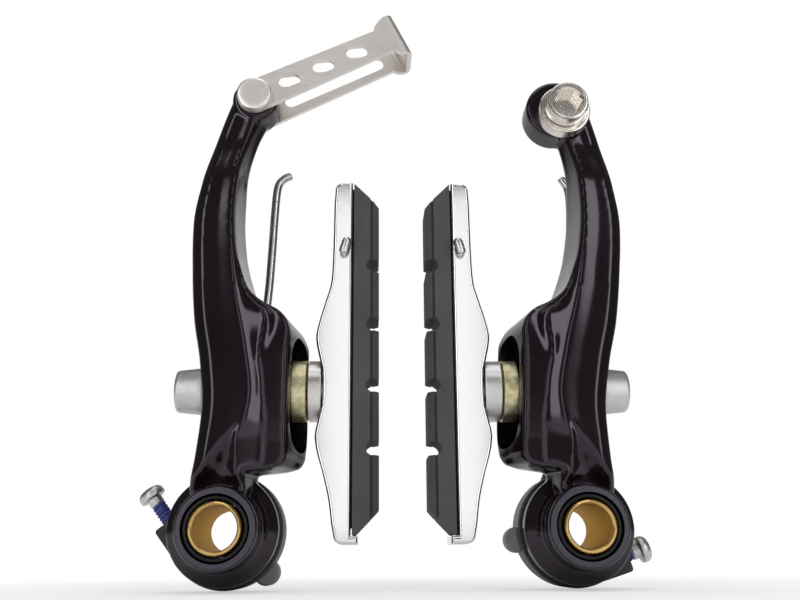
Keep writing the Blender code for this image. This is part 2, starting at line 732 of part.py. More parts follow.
def make_spring_case(side, finish):
    """The plastic cup round the spring, with its screw tab, lug and leg slot."""
    inside = CASE_RADIUS - CASE_RIM
    wall_front = CASE_BACK - CASE_WALL
    tube_bore = SLEEVE_RADIUS + GAP
    cup = rod([
        (CASE_RADIUS - 0.0006, CASE_BACK), (CASE_RADIUS, CASE_BACK - 0.0006),
        (CASE_RADIUS, CASE_FRONT + 0.0004), (CASE_RADIUS - 0.0004, CASE_FRONT),
    ], CASE_ROUND)
    case = finish_object(f"{side}_spring_case", case_place(cup, side), finish)
    inside_rim = CASE_RADIUS - CASE_RIM / 2
    meets_rim = math.sqrt(inside_rim**2 - (SCREW_OFFSET + TAB_BELOW / 2) ** 2)
    tab = prism([
        tuple(screw_line(TAB_FACE, -TAB_ABOVE)),
        tuple(screw_line(TAB_FACE, TAB_BELOW - TAB_CORNER)),
        tuple(screw_line(TAB_FACE - TAB_CORNER, TAB_BELOW)),
        tuple(screw_line(meets_rim * 0.4, TAB_BELOW)),
        tuple(screw_line(0.0, TAB_BELOW / 2)),
        tuple(screw_line(meets_rim, -TAB_ABOVE / 2)),
    ], CASE_BACK - 0.0006, CASE_FRONT + 0.0002)
    join(case, f"{side}_case_tab", case_place(tab, side))
    lug_angle = LUG_ANGLE
    lug_at = (LUG_OFFSET * math.cos(lug_angle), LUG_OFFSET * math.sin(lug_angle))
    lug = rod([
        (LUG_RADIUS - 0.0003, CASE_BACK - 0.0008), (LUG_RADIUS, CASE_BACK - 0.0012),
        (LUG_RADIUS, CASE_FRONT + 0.0022), (LUG_RADIUS - 0.0004, CASE_FRONT + 0.0018),
    ], SMALL_ROUND)
    join(case, f"{side}_case_lug", case_place(shift(lug, (lug_at[0], 0, lug_at[1])), side))
    cavity = turned([
        (CASE_TUBE_RADIUS, wall_front), (inside, wall_front),
        (inside, CASE_FRONT - 0.002), (CASE_TUBE_RADIUS, CASE_FRONT - 0.002),
    ], CASE_ROUND)
    cut(case, f"{side}_case_cavity", case_place(cavity, side))
    tube = rod([(tube_bore, CASE_BACK + 0.002), (tube_bore, CASE_FRONT - 0.002)], CASE_ROUND)
    cut(case, f"{side}_case_bore", case_place(tube, side))
    bore = rod([(SCREW_RADIUS + GAP, 0.0), (SCREW_RADIUS + GAP, 0.012)], SMALL_ROUND, "X")
    cut(case, f"{side}_screw_bore", case_place(screw_pose(bore, 0.0), side))
    start = Vector(leg_start(side))
    ahead = (Vector(spring_leg(side)[0]) - start).normalized()
    beside = Vector((ahead.y, -ahead.x)) * (WIRE / 2 + LEG_SLOT_ROOM)
    near, far = start + ahead * LEG_SLOT_START, start + ahead * (CASE_RADIUS + LEG_SLOT_ROOM)
    slot = prism([tuple(near - beside), tuple(near + beside), tuple(far + beside), tuple(far - beside)],
                 SPRING_REAR - WIRE / 2 - LEG_SLOT_ROOM, CASE_BACK + 0.001)
    cut(case, f"{side}_leg_slot", to_side(slot, side))
    hole = rod([(CASE_PIN_RADIUS + GAP, CASE_BACK + 0.002),
                (CASE_PIN_RADIUS + GAP, wall_front - 0.0010)], SMALL_ROUND)
    cut(case, f"{side}_pin_hole", case_place(shift(hole, pin_at()), side))
    return case


def pin_at():
    """Place of the case's locating pin, below the pivot."""
    return (0.0, 0.0, -CASE_PIN_OFFSET)


def make_case_pin(side, finish):
    """The steel pin that stops the case turning on the frame."""
    edge = 0.0003
    inner = CASE_BACK - CASE_WALL
    bm = rod([
        (CASE_PIN_RADIUS - edge, inner), (CASE_PIN_RADIUS, inner + edge),
        (CASE_PIN_RADIUS, CASE_PIN_REACH - edge), (CASE_PIN_RADIUS - edge, CASE_PIN_REACH),
    ], SMALL_ROUND)
    return finish_object(f"{side}_case_pin", case_place(shift(bm, pin_at()), side), finish)


def make_tension_screw(side, finish):
    """The pan-head screw that sets the spring's tension."""
    head = SCREW_LENGTH + SCREW_HEAD_HEIGHT
    radius = SCREW_HEAD_RADIUS
    bm = rod([
        (SCREW_RADIUS - 0.0004, 0.0), (SCREW_RADIUS, 0.0004), (SCREW_RADIUS, SCREW_LENGTH),
        (radius - 0.0003, SCREW_LENGTH), (radius, SCREW_LENGTH + 0.0004),
        (radius - 0.0001, head - 0.0009), (radius - 0.0006, head - 0.0003),
        (radius - 0.0013, head),
    ], SMALL_ROUND, "X")
    screw = finish_object(
        f"{side}_tension_screw", case_place(screw_pose(bm, SCREW_TIP[side]), side), finish)
    long_half, short_half = SCREW_CROSS / 2, SCREW_CROSS_WIDTH / 2
    plus = []
    for k in range(4):
        quarter = Matrix.Rotation(-k * math.pi / 2, 2)
        for corner in ((short_half, short_half), (long_half, short_half), (long_half, -short_half)):
            plus.append(tuple(quarter @ Vector(corner)))
    cross = prism(plus, head - SCREW_CROSS_DEPTH, head + 0.001, "X")
    cut(screw, f"{side}_screw_cross", case_place(screw_pose(cross, SCREW_TIP[side]), side))
    return screw


# Return spring


LEG_SHAPE = {
    "left": [(-0.0030, 0.140), (-0.0028, 0.180), (-0.0034, 0.309), (-0.0055, 0.536),
             (-0.0061, 0.645), (-0.0065, 0.765), (-0.0070, 0.842), (-0.0083, 0.866),
             (-0.0100, 0.876)],
    "right": [(-0.0030, 0.140), (-0.0028, 0.180), (0.0004, 0.344), (0.0038, 0.600),
              (0.0046, 0.728), (0.0049, 0.800), (0.0046, 0.846), (0.0032, 0.874)],
}


def spring_leg(side):
    """The leg's centre line past the case; its height is a share of the arm's length."""
    return [(out, share * ARM_LENGTH) for out, share in LEG_SHAPE[side]]


def leg_angle(side):
    """Angle round the coil where the leg leaves it, tangent towards its first point."""
    first = Vector(spring_leg(side)[0])
    direction = math.atan2(first.y, first.x)
    return direction + math.acos(COIL_RADIUS / first.length)


def leg_start(side):
    """Point where the leg leaves the coil."""
    angle = leg_angle(side)
    return (COIL_RADIUS * math.cos(angle), COIL_RADIUS * math.sin(angle))


def smooth_route(points, steps):
    """Points on a smooth curve through the given ones."""
    route = []
    last = len(points) - 1
    for i in range(last):
        before, after = points[max(i - 1, 0)], points[min(i + 2, last)]
        here, there = points[i], points[i + 1]
        for k in range(steps):
            t = k / steps
            route.append(0.5 * (2 * here + (there - before) * t
                                + (2 * before - 5 * here + 4 * there - after) * t**2
                                + (3 * here - before - 3 * there + after) * t**3))
    route.append(points[last])
    return route


def spring_route(side):
    """The spring's centre line: its tail, its coil round the pivot and its leg."""
    tail = SPRING_TAIL_ANGLE + CASE_TURN[side] + 4 * math.pi
    leg = leg_angle(side)
    turns = 36
    coil = []
    for i in range(turns + 1):
        angle = tail + (leg - tail) * i / turns
        degrees = math.degrees(angle)
        y = follow([(375, SPRING_REAR), (520, SPRING_FRONT)], degrees)
        coil.append(Vector((COIL_RADIUS * math.cos(angle), y, COIL_RADIUS * math.sin(angle))))
    lift = [(CASE_RADIUS - 0.0045, SPRING_REAR), (CASE_RADIUS + 0.0055, LEG_PLANE)]
    straight = []
    start, first = Vector(leg_start(side)), Vector(spring_leg(side)[0])
    for share in (0.25, 0.4, 0.55, 0.7, 0.85):
        at = start.lerp(first, share)
        straight.append(Vector((at.x, follow(lift, at.y), at.y)))
    free = [coil[-1]] + straight + [Vector((out, LEG_PLANE, up)) for out, up in spring_leg(side)]
    return coil[:-1] + smooth_route(free, 2)


def make_return_spring(side, finish):
    """The return spring, a round wire swept along its route."""
    mirror = SIDES[side]
    curve = bpy.data.curves.new(f"{side}_return_spring", "CURVE")
    curve.dimensions = "3D"
    curve.bevel_depth = WIRE / 2
    curve.bevel_resolution = 2
    curve.use_fill_caps = True
    route = spring_route(side)
    spline = curve.splines.new("POLY")
    spline.points.add(len(route) - 1)
    for point, at in zip(spline.points, route):
        point.co = (mirror * at.x, at.y, at.z, 1.0)
    curve.materials.append(finish)
    made = bpy.data.objects.new(f"{side}_return_spring", curve)
    bpy.context.scene.collection.objects.link(made)
    return made


# Pad clamp


def washer_pair(radius, bore, rim, crown, cup):
    """Profiles of a ball washer and its cup, laid from the arm outwards, as (radius, place)."""
    steps = 2
    curve = []
    for i in range(steps + 1):
        r = radius + (bore - radius) * i / steps
        share = (radius**2 - r**2) / (radius**2 - bore**2)
        curve.append((r, rim + crown * share))
    dome = [(bore, 0.0), (radius, 0.0)] + curve
    cup_curve = [(r, place + GAP) for r, place in curve]
    flat = rim + GAP + cup
    cup_edge = 0.0003
    cup_ring = [(bore, flat), (radius - cup_edge, flat), (radius, flat - cup_edge)] + cup_curve
    return dome, cup_ring


def make_clamp(side, looks):
    """Washers and barrel nut on the pad's post, in the post's frame: X is `out`."""
    bore = POST_RADIUS + GAP
    pieces = []
    inner = washer_pair(WASHER_RADIUS, bore, DOME_RIM, DOME_CROWN, CUP_THICKNESS[side])
    outer = washer_pair(OUTER_WASHER_RADIUS, bore, OUTER_DOME_RIM, OUTER_DOME_CROWN,
                        OUTER_CUP_THICKNESS[side])
    for name, profile, start, way, finish in (
        ("inner_dome_washer", inner[0], WASHER_FLOOR - GAP, -1, "yellow_zinc"),
        ("inner_cup_washer", inner[1], WASHER_FLOOR - GAP, -1, "bright_steel"),
        ("outer_dome_washer", outer[0], OUTER_FLOOR + GAP, 1, "yellow_zinc"),
        ("outer_cup_washer", outer[1], OUTER_FLOOR + GAP, 1, "bright_steel"),
    ):
        placed = [(radius, start + way * place) for radius, place in profile]
        bm = to_side(turned(placed, ROUND, "X"), side)
        pieces.append(finish_object(f"{side}_{name}", bm, looks[finish]))
    start = nut_start(side)
    end = start + NUT_LENGTH
    round_off = 0.0007
    nut = finish_object(f"{side}_pad_nut", to_side(rod([
        (NUT_RADIUS - 0.0002, start), (NUT_RADIUS, start + 0.0002),
        (NUT_END_RADIUS, end - round_off), (NUT_END_RADIUS - 0.3 * round_off, end - 0.3 * round_off),
        (NUT_END_RADIUS - round_off, end),
    ], ROUND, "X"), side), looks["bright_steel"])
    socket = prism(hexagon((0.0, 0.0), NUT_SOCKET), end - NUT_SOCKET_DEPTH, end + 0.001, "X")
    cut(nut, f"{side}_nut_socket", to_side(socket, side))
    thread = rod([(bore, start - 0.001), (bore, post_end(side) + GAP)], SMALL_ROUND, "X")
    cut(nut, f"{side}_nut_thread", to_side(thread, side))
    pieces.append(nut)
    return pieces


def post_end(side):
    """Place along `out` of the post's outer end, inside the nut."""
    return nut_start(side) + NUT_LENGTH - NUT_SOCKET_DEPTH - NUT_WEB - GAP


# Brake shoe, in the post's frame with X as `out` and Z up from the post


def make_post(side, finish):
    """The threaded post that carries the shoe."""
    foot = shoe_seat(side) - POST_SEAT_DEPTH
    edge = 0.0005
    bm = rod([
        (POST_RADIUS - edge, foot), (POST_RADIUS, foot + edge),
        (POST_RADIUS, post_end(side) - edge), (POST_RADIUS - edge, post_end(side)),
    ], SMALL_ROUND, "X")
    return finish_object(f"{side}_pad_post", to_side(bm, side), finish)


def shoe_outline():
    """The holder's outline from the front, as (distance from braking face, up)."""
    rubber = RUBBER_THICKNESS
    end = SHOE_END_THICKNESS
    seat = SHOE_SEAT_THICKNESS
    bulge = SHOE_BULGE_THICKNESS
    seat_half = WASHER_RADIUS + GAP
    top, bottom = SHOE_ABOVE, -SHOE_BELOW
    round_end = 0.0016
    outline = [(rubber, top)]
    outline += arc((end - 0.0002 - round_end, top - round_end), round_end, math.pi / 2, 0.0, 4)
    outline += [
        (end, top - 0.0050), (end + 0.0001, 0.0290), (end + 0.0004, 0.0218),
        (end + 0.0014, 0.0178), (bulge - 0.0008, 0.0140), (bulge - 0.0001, 0.0108),
        (bulge, seat_half + 0.0018), (bulge - 0.0004, seat_half + 0.0006),
        (seat, seat_half), (seat, -seat_half),
        (bulge - 0.0004, -seat_half - 0.0006), (bulge, -seat_half - 0.0018),
        (bulge - 0.0002, -0.0105), (bulge - 0.0007, -0.0130), (end + 0.0015, -0.0168),
        (end + 0.0004, -0.0215), (end - 0.0002, bottom + 0.0036),
    ]
    outline += arc((end - 0.0006 - round_end, bottom + round_end), round_end, 0.0, -math.pi / 2, 4)
    lip = rubber - 0.0014
    outline += [(lip + 0.0004, bottom), (lip, bottom + 0.0006),
                (lip, bottom + 0.0014), (rubber, bottom + 0.0014)]
    return outline


def shoe_face(side):
    """Place along `out` of the braking face."""
    return shoe_seat(side) - SHOE_SEAT_THICKNESS


def make_shoe(side, looks):
    """The holder, its rubber and the pin that keeps the rubber in."""
    face = shoe_face(side)
    half = SHOE_DEPTH / 2
    top, bottom = SHOE_ABOVE, -SHOE_BELOW
    rubber_back = face + RUBBER_THICKNESS
    channel_end = bottom + 0.0028

    outline = [(face + a, b) for a, b in shoe_outline()]
    holder = finish_object(
        f"{side}_pad_holder", to_side(prism(outline, -half, half), side), looks["polished_alloy"])
    mouth, floor = CHANNEL_MOUTH / 2, CHANNEL_FLOOR / 2
    over = 0.002
    flank = (floor - mouth) / CHANNEL_DEPTH
    channel = prism([
        (rubber_back - over, -mouth + flank * over), (rubber_back + CHANNEL_DEPTH, -floor),
        (rubber_back + CHANNEL_DEPTH, floor), (rubber_back - over, mouth - flank * over),
    ], channel_end, top + over, "Z")
    cut(holder, f"{side}_rubber_channel", to_side(channel, side))
    socket = rod([
        (POST_RADIUS + GAP, shoe_seat(side) + 0.001),
        (POST_RADIUS + GAP, shoe_seat(side) - POST_SEAT_DEPTH - GAP),
    ], SMALL_ROUND, "X")
    cut(holder, f"{side}_post_socket", to_side(socket, side))
    pin_place = (rubber_back + CHANNEL_DEPTH - 0.0012, 0.0, PIN_HEIGHT)
    hole = rod([(PIN_RADIUS + GAP, -half - 0.001), (PIN_RADIUS + GAP, half + 0.001)], SMALL_ROUND)
    cut(holder, f"{side}_holder_pin_hole", to_side(shift(hole, pin_place), side))

    front = face
    back = rubber_back - GAP
    low = bottom + 0.0014 + GAP
    rubber_top = top - 0.0002
    block_outline = [
        (back, rubber_top), (front, rubber_top - RUBBER_TOP_CHAMFER),
        (front, low + RUBBER_BOTTOM_CHAMFER), (back - 0.0006, low), (back, low),
    ]
    rubber_half = half - 0.0002
    insert = finish_object(
        f"{side}_pad_insert", to_side(prism(block_outline, -rubber_half, rubber_half), side),
        looks["rubber"])
    neck_mouth = mouth - GAP
    neck_floor = floor - GAP
    neck = prism([
        (back - 0.0010, -neck_mouth + flank * 0.0010), (back, -neck_mouth),
        (rubber_back + CHANNEL_DEPTH - GAP, -neck_floor),
        (rubber_back + CHANNEL_DEPTH - GAP, neck_floor), (back, neck_mouth),
        (back - 0.0010, neck_mouth - flank * 0.0010),
    ], channel_end + GAP, rubber_top - 0.0004, "Z")
    join(insert, f"{side}_rubber_neck", to_side(neck, side))
    chamfer = RUBBER_EDGE_CHAMFER
    beyond = 0.001
    for way in (-1, 1):
        corner = prism([
            (front - beyond, way * (rubber_half + beyond)),
            (front + chamfer + beyond, way * (rubber_half + beyond)),
            (front - beyond, way * (rubber_half - chamfer - beyond)),
        ], low - beyond, top + beyond, "Z")
        cut(insert, f"{side}_rubber_edge_{'front' if way < 0 else 'back'}", to_side(corner, side))
    for k in range(GROOVE_COUNT):
        height = GROOVE_TOP - k * GROOVE_PITCH
        width = GROOVE_WIDTH / 2
        groove = prism(
            [(front - 0.001, height + width)]
            + [(front + GROOVE_DEPTH - width + a, height + b)
               for a, b in arc((0.0, 0.0), width, math.pi / 2, -math.pi / 2, 6)]
            + [(front - 0.001, height - width)],
            -half - 0.001, half + 0.001)
        cut(insert, f"{side}_groove_{k + 1}", to_side(groove, side))
    hole = rod([(PIN_RADIUS + GAP, -half - 0.001), (PIN_RADIUS + GAP, half + 0.001)], SMALL_ROUND)
    cut(insert, f"{side}_insert_pin_hole", to_side(shift(hole, pin_place), side))

    pin = pad_pin(half)
    shift(pin, pin_place)
    return [holder, insert, finish_object(f"{side}_pad_pin", to_side(pin, side), looks["satin_steel"])]


def pad_pin(half):
    """The retaining pin: a round shank with a flat oval head outside the holder's front."""
    head_front = -half - GAP - PIN_HEAD_HEIGHT
    shank = [
        [(PIN_RADIUS * math.cos(2 * math.pi * k / 16), place, PIN_RADIUS * math.sin(2 * math.pi * k / 16))
         for k in range(16)]
        for place in (half, -half - GAP)
    ]
    head = []
    for scale, place in ((1.0, -half - GAP), (1.0, head_front + 0.0003), (0.8, head_front)):
        ring = []
        for k in range(16):
            angle = 2 * math.pi * k / 16
            ring.append((PIN_HEAD_WIDTH / 2 * scale * math.cos(angle), place,
                         PIN_HEAD_LENGTH / 2 * scale * math.sin(angle)))
        head.append(ring)
    return loft(bmesh.new(), shank + head)


# Cable link and rivet, in a frame at the rivet with X along the strap


def make_cable_link(finish):
    """The folded strap: two cheeks, the end web and its holes."""
    sheet = LINK_SHEET
    inner_front = HEAD_FRONT - GAP
    inner_back = HEAD_BACK + GAP
    front = inner_front - sheet
    back = inner_back + sheet
    end = LINK_LENGTH
    bend = LINK_BEND
    start = -LINK_HALF_WIDTH - 0.002
    section = [(start, front)]
    section += arc((end - bend, front + bend), bend, -math.pi / 2, 0.0, 5)
    section += arc((end - bend, back - bend), bend, 0.0, math.pi / 2, 5)
    section += [(start, back), (start, inner_back)]
    inner_bend = bend - sheet
    section += arc((end - bend, back - bend), inner_bend, math.pi / 2, 0.0, 4)
    section += arc((end - bend, front + bend), inner_bend, 0.0, -math.pi / 2, 4)
    section += [(start, inner_front)]
    tall = LINK_HALF_WIDTH + LINK_FLARE + 0.002
    link = finish_object("cable_link", prism(section, -tall, tall, "Z"), finish)
    half = LINK_HALF_WIDTH
    flare_start = end - 0.0052
    flare_end = end - 0.0024
    outline = arc((0.0, 0.0), half, math.pi / 2, 3 * math.pi / 2, 12)
    outline += [(flare_start + 0.0020, -half), (flare_end + 0.0012, -half - LINK_FLARE * 0.6),
                (end + 0.001, -half - LINK_FLARE * 0.6), (end + 0.001, half + LINK_FLARE),
                (flare_end + 0.0004, half + LINK_FLARE),
                (flare_end - 0.0008, half + LINK_FLARE * 0.75), (flare_start, half)]
    combine(link, "link_outline", prism(outline, front - 0.002, back + 0.002), "INTERSECT")
    rivet_hole = rod([(RIVET_RADIUS + GAP, front - 0.001), (RIVET_RADIUS + GAP, back + 0.001)],
                     SMALL_ROUND)
    cut(link, "link_rivet_hole", rivet_hole)
    for k in range(3):
        at = LINK_FIRST_HOLE + k * LINK_HOLE_PITCH
        flat = (LINK_HOLE_LENGTH - LINK_HOLE_WIDTH) / 2
        radius = LINK_HOLE_WIDTH / 2
        oval = (arc((flat, 0.0), radius, -math.pi / 2, math.pi / 2, 6)
                + arc((-flat, 0.0), radius, math.pi / 2, 3 * math.pi / 2, 6))
        hole = turn(prism(oval, front - 0.001, inner_front + 0.001), LINK_ANGLE * 0.75, "Y")
        cut(link, f"link_hole_{k + 1}", shift(hole, (at, 0, 0)))
    slot_half = half - 0.0021
    slot_start = half + 0.0042
    slot_end = end - 0.0060
    slot = (arc((slot_end, 0.0), slot_half, -math.pi / 2, math.pi / 2, 6)
            + arc((slot_start, 0.0), slot_half, math.pi / 2, 3 * math.pi / 2, 6))
    cut(link, "link_cheek_slot", prism(slot, inner_back - 0.001, back + 0.001))
    middle = (inner_front + inner_back) / 2
    seat = rod([(LINK_SEAT_RADIUS, end - 0.003), (LINK_SEAT_RADIUS, end + 0.002)], SMALL_ROUND, "X")
    cut(link, "link_seat_hole", shift(seat, (0, middle, 0)))
    gate = block((end - 0.003, middle - LINK_SEAT_SLOT / 2, 0.0),
                 (end + 0.002, middle + LINK_SEAT_SLOT / 2, tall))
    cut(link, "link_seat_gate", gate)
    return link


def make_rivet(finish):
    """The rivet through the link's cheeks and the arm's head."""
    front = HEAD_FRONT - GAP - LINK_SHEET - GAP
    back = HEAD_BACK + GAP + LINK_SHEET + GAP
    head = RIVET_HEAD_HEIGHT
    radius = RIVET_HEAD_RADIUS
    bm = rod([
        (radius - 0.0004, back + head), (radius, back + head - 0.0004), (radius, back),
        (RIVET_RADIUS, back), (RIVET_RADIUS, front), (radius, front),
        (radius, front - head + 0.0003), (radius - 0.0003, front - head),
        (radius - 0.0007, front - head), (radius - 0.0008, front - head + 0.0002),
    ], ROUND)
    return finish_object("link_rivet", bm, finish)


# Cable anchor, in a frame at the bolt


def make_anchor(looks):
    """The clamp washer and the socket bolt that grip the cable on the right arm's head."""
    back = HEAD_FRONT - GAP
    front = back - ANCHOR_WASHER_THICKNESS
    edge = 0.0004
    bore = ANCHOR_BOLT_RADIUS + GAP
    radius = ANCHOR_WASHER_RADIUS
    washer = finish_object("anchor_washer", turned([
        (bore, back), (radius - edge, back), (radius, back - edge),
        (radius, front + edge), (radius - edge, front), (bore, front),
    ], ROUND), looks["bright_steel"])
    head_back = front - GAP
    head_front = head_back - ANCHOR_HEAD_HEIGHT
    head = ANCHOR_HEAD_RADIUS
    tip = HEAD_BACK + 0.0002
    bolt = finish_object("anchor_bolt", rod([
        (ANCHOR_BOLT_RADIUS - 0.0005, tip), (ANCHOR_BOLT_RADIUS, tip - 0.0005),
        (ANCHOR_BOLT_RADIUS, head_back), (head - 0.0002, head_back), (head, head_back - 0.0002),
        (head, head_front + 0.0006), (head - 0.0002, head_front + 0.0002), (head - 0.0006, head_front),
    ], ROUND), looks["bright_steel"])
    socket = prism(hexagon((0.0, 0.0), ANCHOR_SOCKET),
                   head_front + ANCHOR_SOCKET_DEPTH, head_front - 0.001)
    cut(bolt, "anchor_socket", socket)
    return [washer, bolt]


# Assembly


def side_frames(side):
    """Empties at one arm's pivot, along its leaning arm and at its pad's post."""
    mirror = SIDES[side]
    lean = ARM_LEAN[side]
    pivot_place = Vector((mirror * PIVOT_SPACING / 2, 0.0, 0.0))
    pivot = frame_empty(f"{side}_pivot_frame", pivot_place)
    arm = frame_empty(f"{side}_arm_frame", pivot_place, lean)
    up = Vector((math.sin(lean), 0.0, math.cos(lean)))
    post_place = pivot_place + up * POST_HEIGHT + Vector((0.0, POST_Y, 0.0))
    post = frame_empty(f"{side}_post_frame", post_place)
    return pivot, arm, post


def build():
    """Model the whole brake."""
    for old in list(bpy.data.objects):
        bpy.data.objects.remove(old, do_unlink=True)
    looks = finishes()
    arm_frames = {}
    for side in SIDES:
        pivot, arm_frame, post = side_frames(side)
        arm_frames[side] = arm_frame
        carried = {
            pivot: [
                make_sleeve(side, looks["gold_zinc"]),
                make_spring_case(side, looks["black_plastic"]),
                make_case_pin(side, looks["bright_steel"]),
                make_return_spring(side, looks["spring_steel"]),
                make_tension_screw(side, looks["bright_steel"]),
            ],
            arm_frame: [
                make_arm(side, looks["black_gloss"]),
                make_bush(side, looks["liner_plastic"]),
                make_spring_peg(side, looks["bright_steel"]),
            ],
            post: make_clamp(side, looks) + [make_post(side, looks["bright_steel"])]
            + make_shoe(side, looks),
        }
        for frame, pieces in carried.items():
            for piece in pieces:
                piece.parent = frame

    link_frame = frame_empty("link_frame", (-LINK_PIN_OUT, 0.0, LINK_PIN_UP))
    link_frame.parent = arm_frames["left"]
    link_turn = frame_empty("link_turn_frame", (0.0, 0.0, 0.0), -LINK_ANGLE - ARM_LEAN["left"])
    link_turn.parent = link_frame
    rivet = make_rivet(looks["bright_steel"])
    rivet.parent = link_frame
    link = make_cable_link(looks["satin_steel"])
    link.parent = link_turn

    anchor_frame = frame_empty("anchor_frame", (ANCHOR_OUT, 0.0, ANCHOR_UP))
    anchor_frame.parent = arm_frames["right"]
    for piece in make_anchor(looks):
        piece.parent = anchor_frame


build()
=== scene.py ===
"""Dressed model of a mini linear-pull rim brake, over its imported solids.

Metres, +Z up the arms, +X to the brake's right as its front is looked at, -Y towards the viewer.
Each arm is shaped in its own frame: `out` runs away from the brake's middle, `up` along the arm
from its pivot, and y is shared with the brake. A piece's place is in its mesh.
"""

import json
import math

import bmesh
import bpy
from mathutils import Matrix, Vector


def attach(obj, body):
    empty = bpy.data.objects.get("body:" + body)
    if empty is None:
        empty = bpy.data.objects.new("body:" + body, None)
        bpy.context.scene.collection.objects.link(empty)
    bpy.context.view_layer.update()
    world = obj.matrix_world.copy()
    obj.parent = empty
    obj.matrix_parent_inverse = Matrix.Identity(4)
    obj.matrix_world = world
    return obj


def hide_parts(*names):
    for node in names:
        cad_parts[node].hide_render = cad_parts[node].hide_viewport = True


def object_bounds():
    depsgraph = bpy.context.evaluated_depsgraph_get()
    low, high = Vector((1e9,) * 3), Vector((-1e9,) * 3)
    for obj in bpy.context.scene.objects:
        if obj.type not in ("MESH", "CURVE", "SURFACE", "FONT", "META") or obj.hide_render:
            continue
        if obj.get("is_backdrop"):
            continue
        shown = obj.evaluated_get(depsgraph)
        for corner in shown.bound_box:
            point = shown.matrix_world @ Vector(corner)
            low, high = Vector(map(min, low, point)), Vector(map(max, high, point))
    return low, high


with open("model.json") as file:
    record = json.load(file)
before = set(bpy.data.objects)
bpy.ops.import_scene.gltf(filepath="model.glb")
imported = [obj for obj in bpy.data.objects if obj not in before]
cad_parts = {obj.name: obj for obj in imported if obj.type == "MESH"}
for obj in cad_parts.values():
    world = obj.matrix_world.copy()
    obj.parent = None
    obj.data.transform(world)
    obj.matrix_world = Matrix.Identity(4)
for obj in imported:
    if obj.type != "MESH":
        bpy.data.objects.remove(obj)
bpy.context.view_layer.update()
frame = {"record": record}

bl_info = {
    "name": "Rim Brake Dressing",
    "version": (1, 0, 0),
    "blender": (4, 5, 0),
    "location": "View3D > Sidebar > Rim Brake",
    "description": "Makes the detailed pieces, finishes and stage of a linear-pull rim brake",
    "category": "Add Mesh",
}

# Sizes that the pieces share with the solids

GAP = 0.0003
SIDES = {"left": -1.0, "right": 1.0}
HALF_SPACING = 0.0339
ARM_LEAN = {"left": math.radians(0.0), "right": math.radians(3.0)}

SLEEVE_BORE = 0.0081
SLEEVE_RADIUS = 0.0049
SLEEVE_LENGTH = 0.0220
BUSH_BORE = 0.0052
BUSH_RADIUS = 0.0059
HUB_BORE = 0.0062
HUB_FACE = -0.0215
HUB_BACK = -0.0083
COLLAR_RADIUS = 0.0076
FLANGE_RADIUS = 0.0106
FLANGE_FRONT = -0.0130

WIRE = 0.0018
CASE_FRONT = -0.0080
CASE_BACK = -0.0004
CASE_WALL = 0.0009
CASE_RADIUS = 0.0111
CASE_RIM = 0.0011
CASE_TUBE_RADIUS = 0.00595
CASE_TURN = {"left": 0.0, "right": math.radians(-35.0)}
COIL_RADIUS = 0.007975
LUG_RADIUS = 0.0025
LUG_OFFSET = 0.0110
LUG_ANGLE = math.radians(225.0)
SPRING_REAR = -0.0027
SPRING_FRONT = -0.0056
SPRING_TAIL_ANGLE = math.radians(-26.0)
LEG_PLANE = 0.0001
LEG_SLOT_ROOM = 0.0006
LEG_SLOT_START = 0.0035
CASE_PIN_RADIUS = 0.0015
CASE_PIN_REACH = 0.0045
CASE_PIN_OFFSET = 0.0081

SCREW_RADIUS = 0.0015
SCREW_LENGTH = 0.0080
SCREW_HEAD_RADIUS = 0.0027
SCREW_HEAD_HEIGHT = 0.0021
SCREW_CROSS = 0.0028
SCREW_CROSS_WIDTH = 0.0007
SCREW_OFFSET = 0.0079
SCREW_HEADING = math.radians(52.8)
SCREW_Y = -0.0052
SCREW_TIP = {"left": 0.0060, "right": 0.0032}
TAB_FACE = 0.0083
TAB_BELOW = 0.0031
TAB_ABOVE = 0.0026
TAB_CORNER = 0.0007

ARM_LENGTH = 0.0888
ARM_BACK = -0.0016
HOUSING_LOW = 0.0110
HOUSING_HIGH = 0.04025
HOUSING_FACE = -0.0180
HOUSING_INNER = -0.0153
HOUSING_DRAFT = 0.0036
SPINE_FRONT = -0.0197
HEAD_FRONT = -0.0166
HEAD_BACK = -0.0096
HEAD_WALL = 0.0012
POST_HEIGHT = 0.02685
POST_Y = -0.0098
POST_RADIUS = 0.0030
POST_SEAT_DEPTH = 0.0032
THREAD_PITCH = 0.001
SLOT_TRAVEL_UP = 0.0044
SLOT_TRAVEL_DOWN = 0.00585

WASHER_RADIUS = 0.0061
WASHER_FLOOR = -0.0120
POCKET_RELIEF = 0.00015
DOME_RIM = 0.0030
DOME_CROWN = 0.0010
CUP_THICKNESS = {"left": 0.0026, "right": 0.0033}
OUTER_WASHER_RADIUS = 0.0053
OUTER_FLOOR = -0.0005
OUTER_DOME_RIM = 0.0014
OUTER_DOME_CROWN = 0.0008
OUTER_CUP_THICKNESS = {"left": 0.0031, "right": 0.0027}
NUT_LENGTH = 0.0056
NUT_RADIUS = 0.0047
NUT_END_RADIUS = 0.0042
NUT_SOCKET = 0.0050
NUT_SOCKET_DEPTH = 0.0020
NUT_WEB = 0.0004

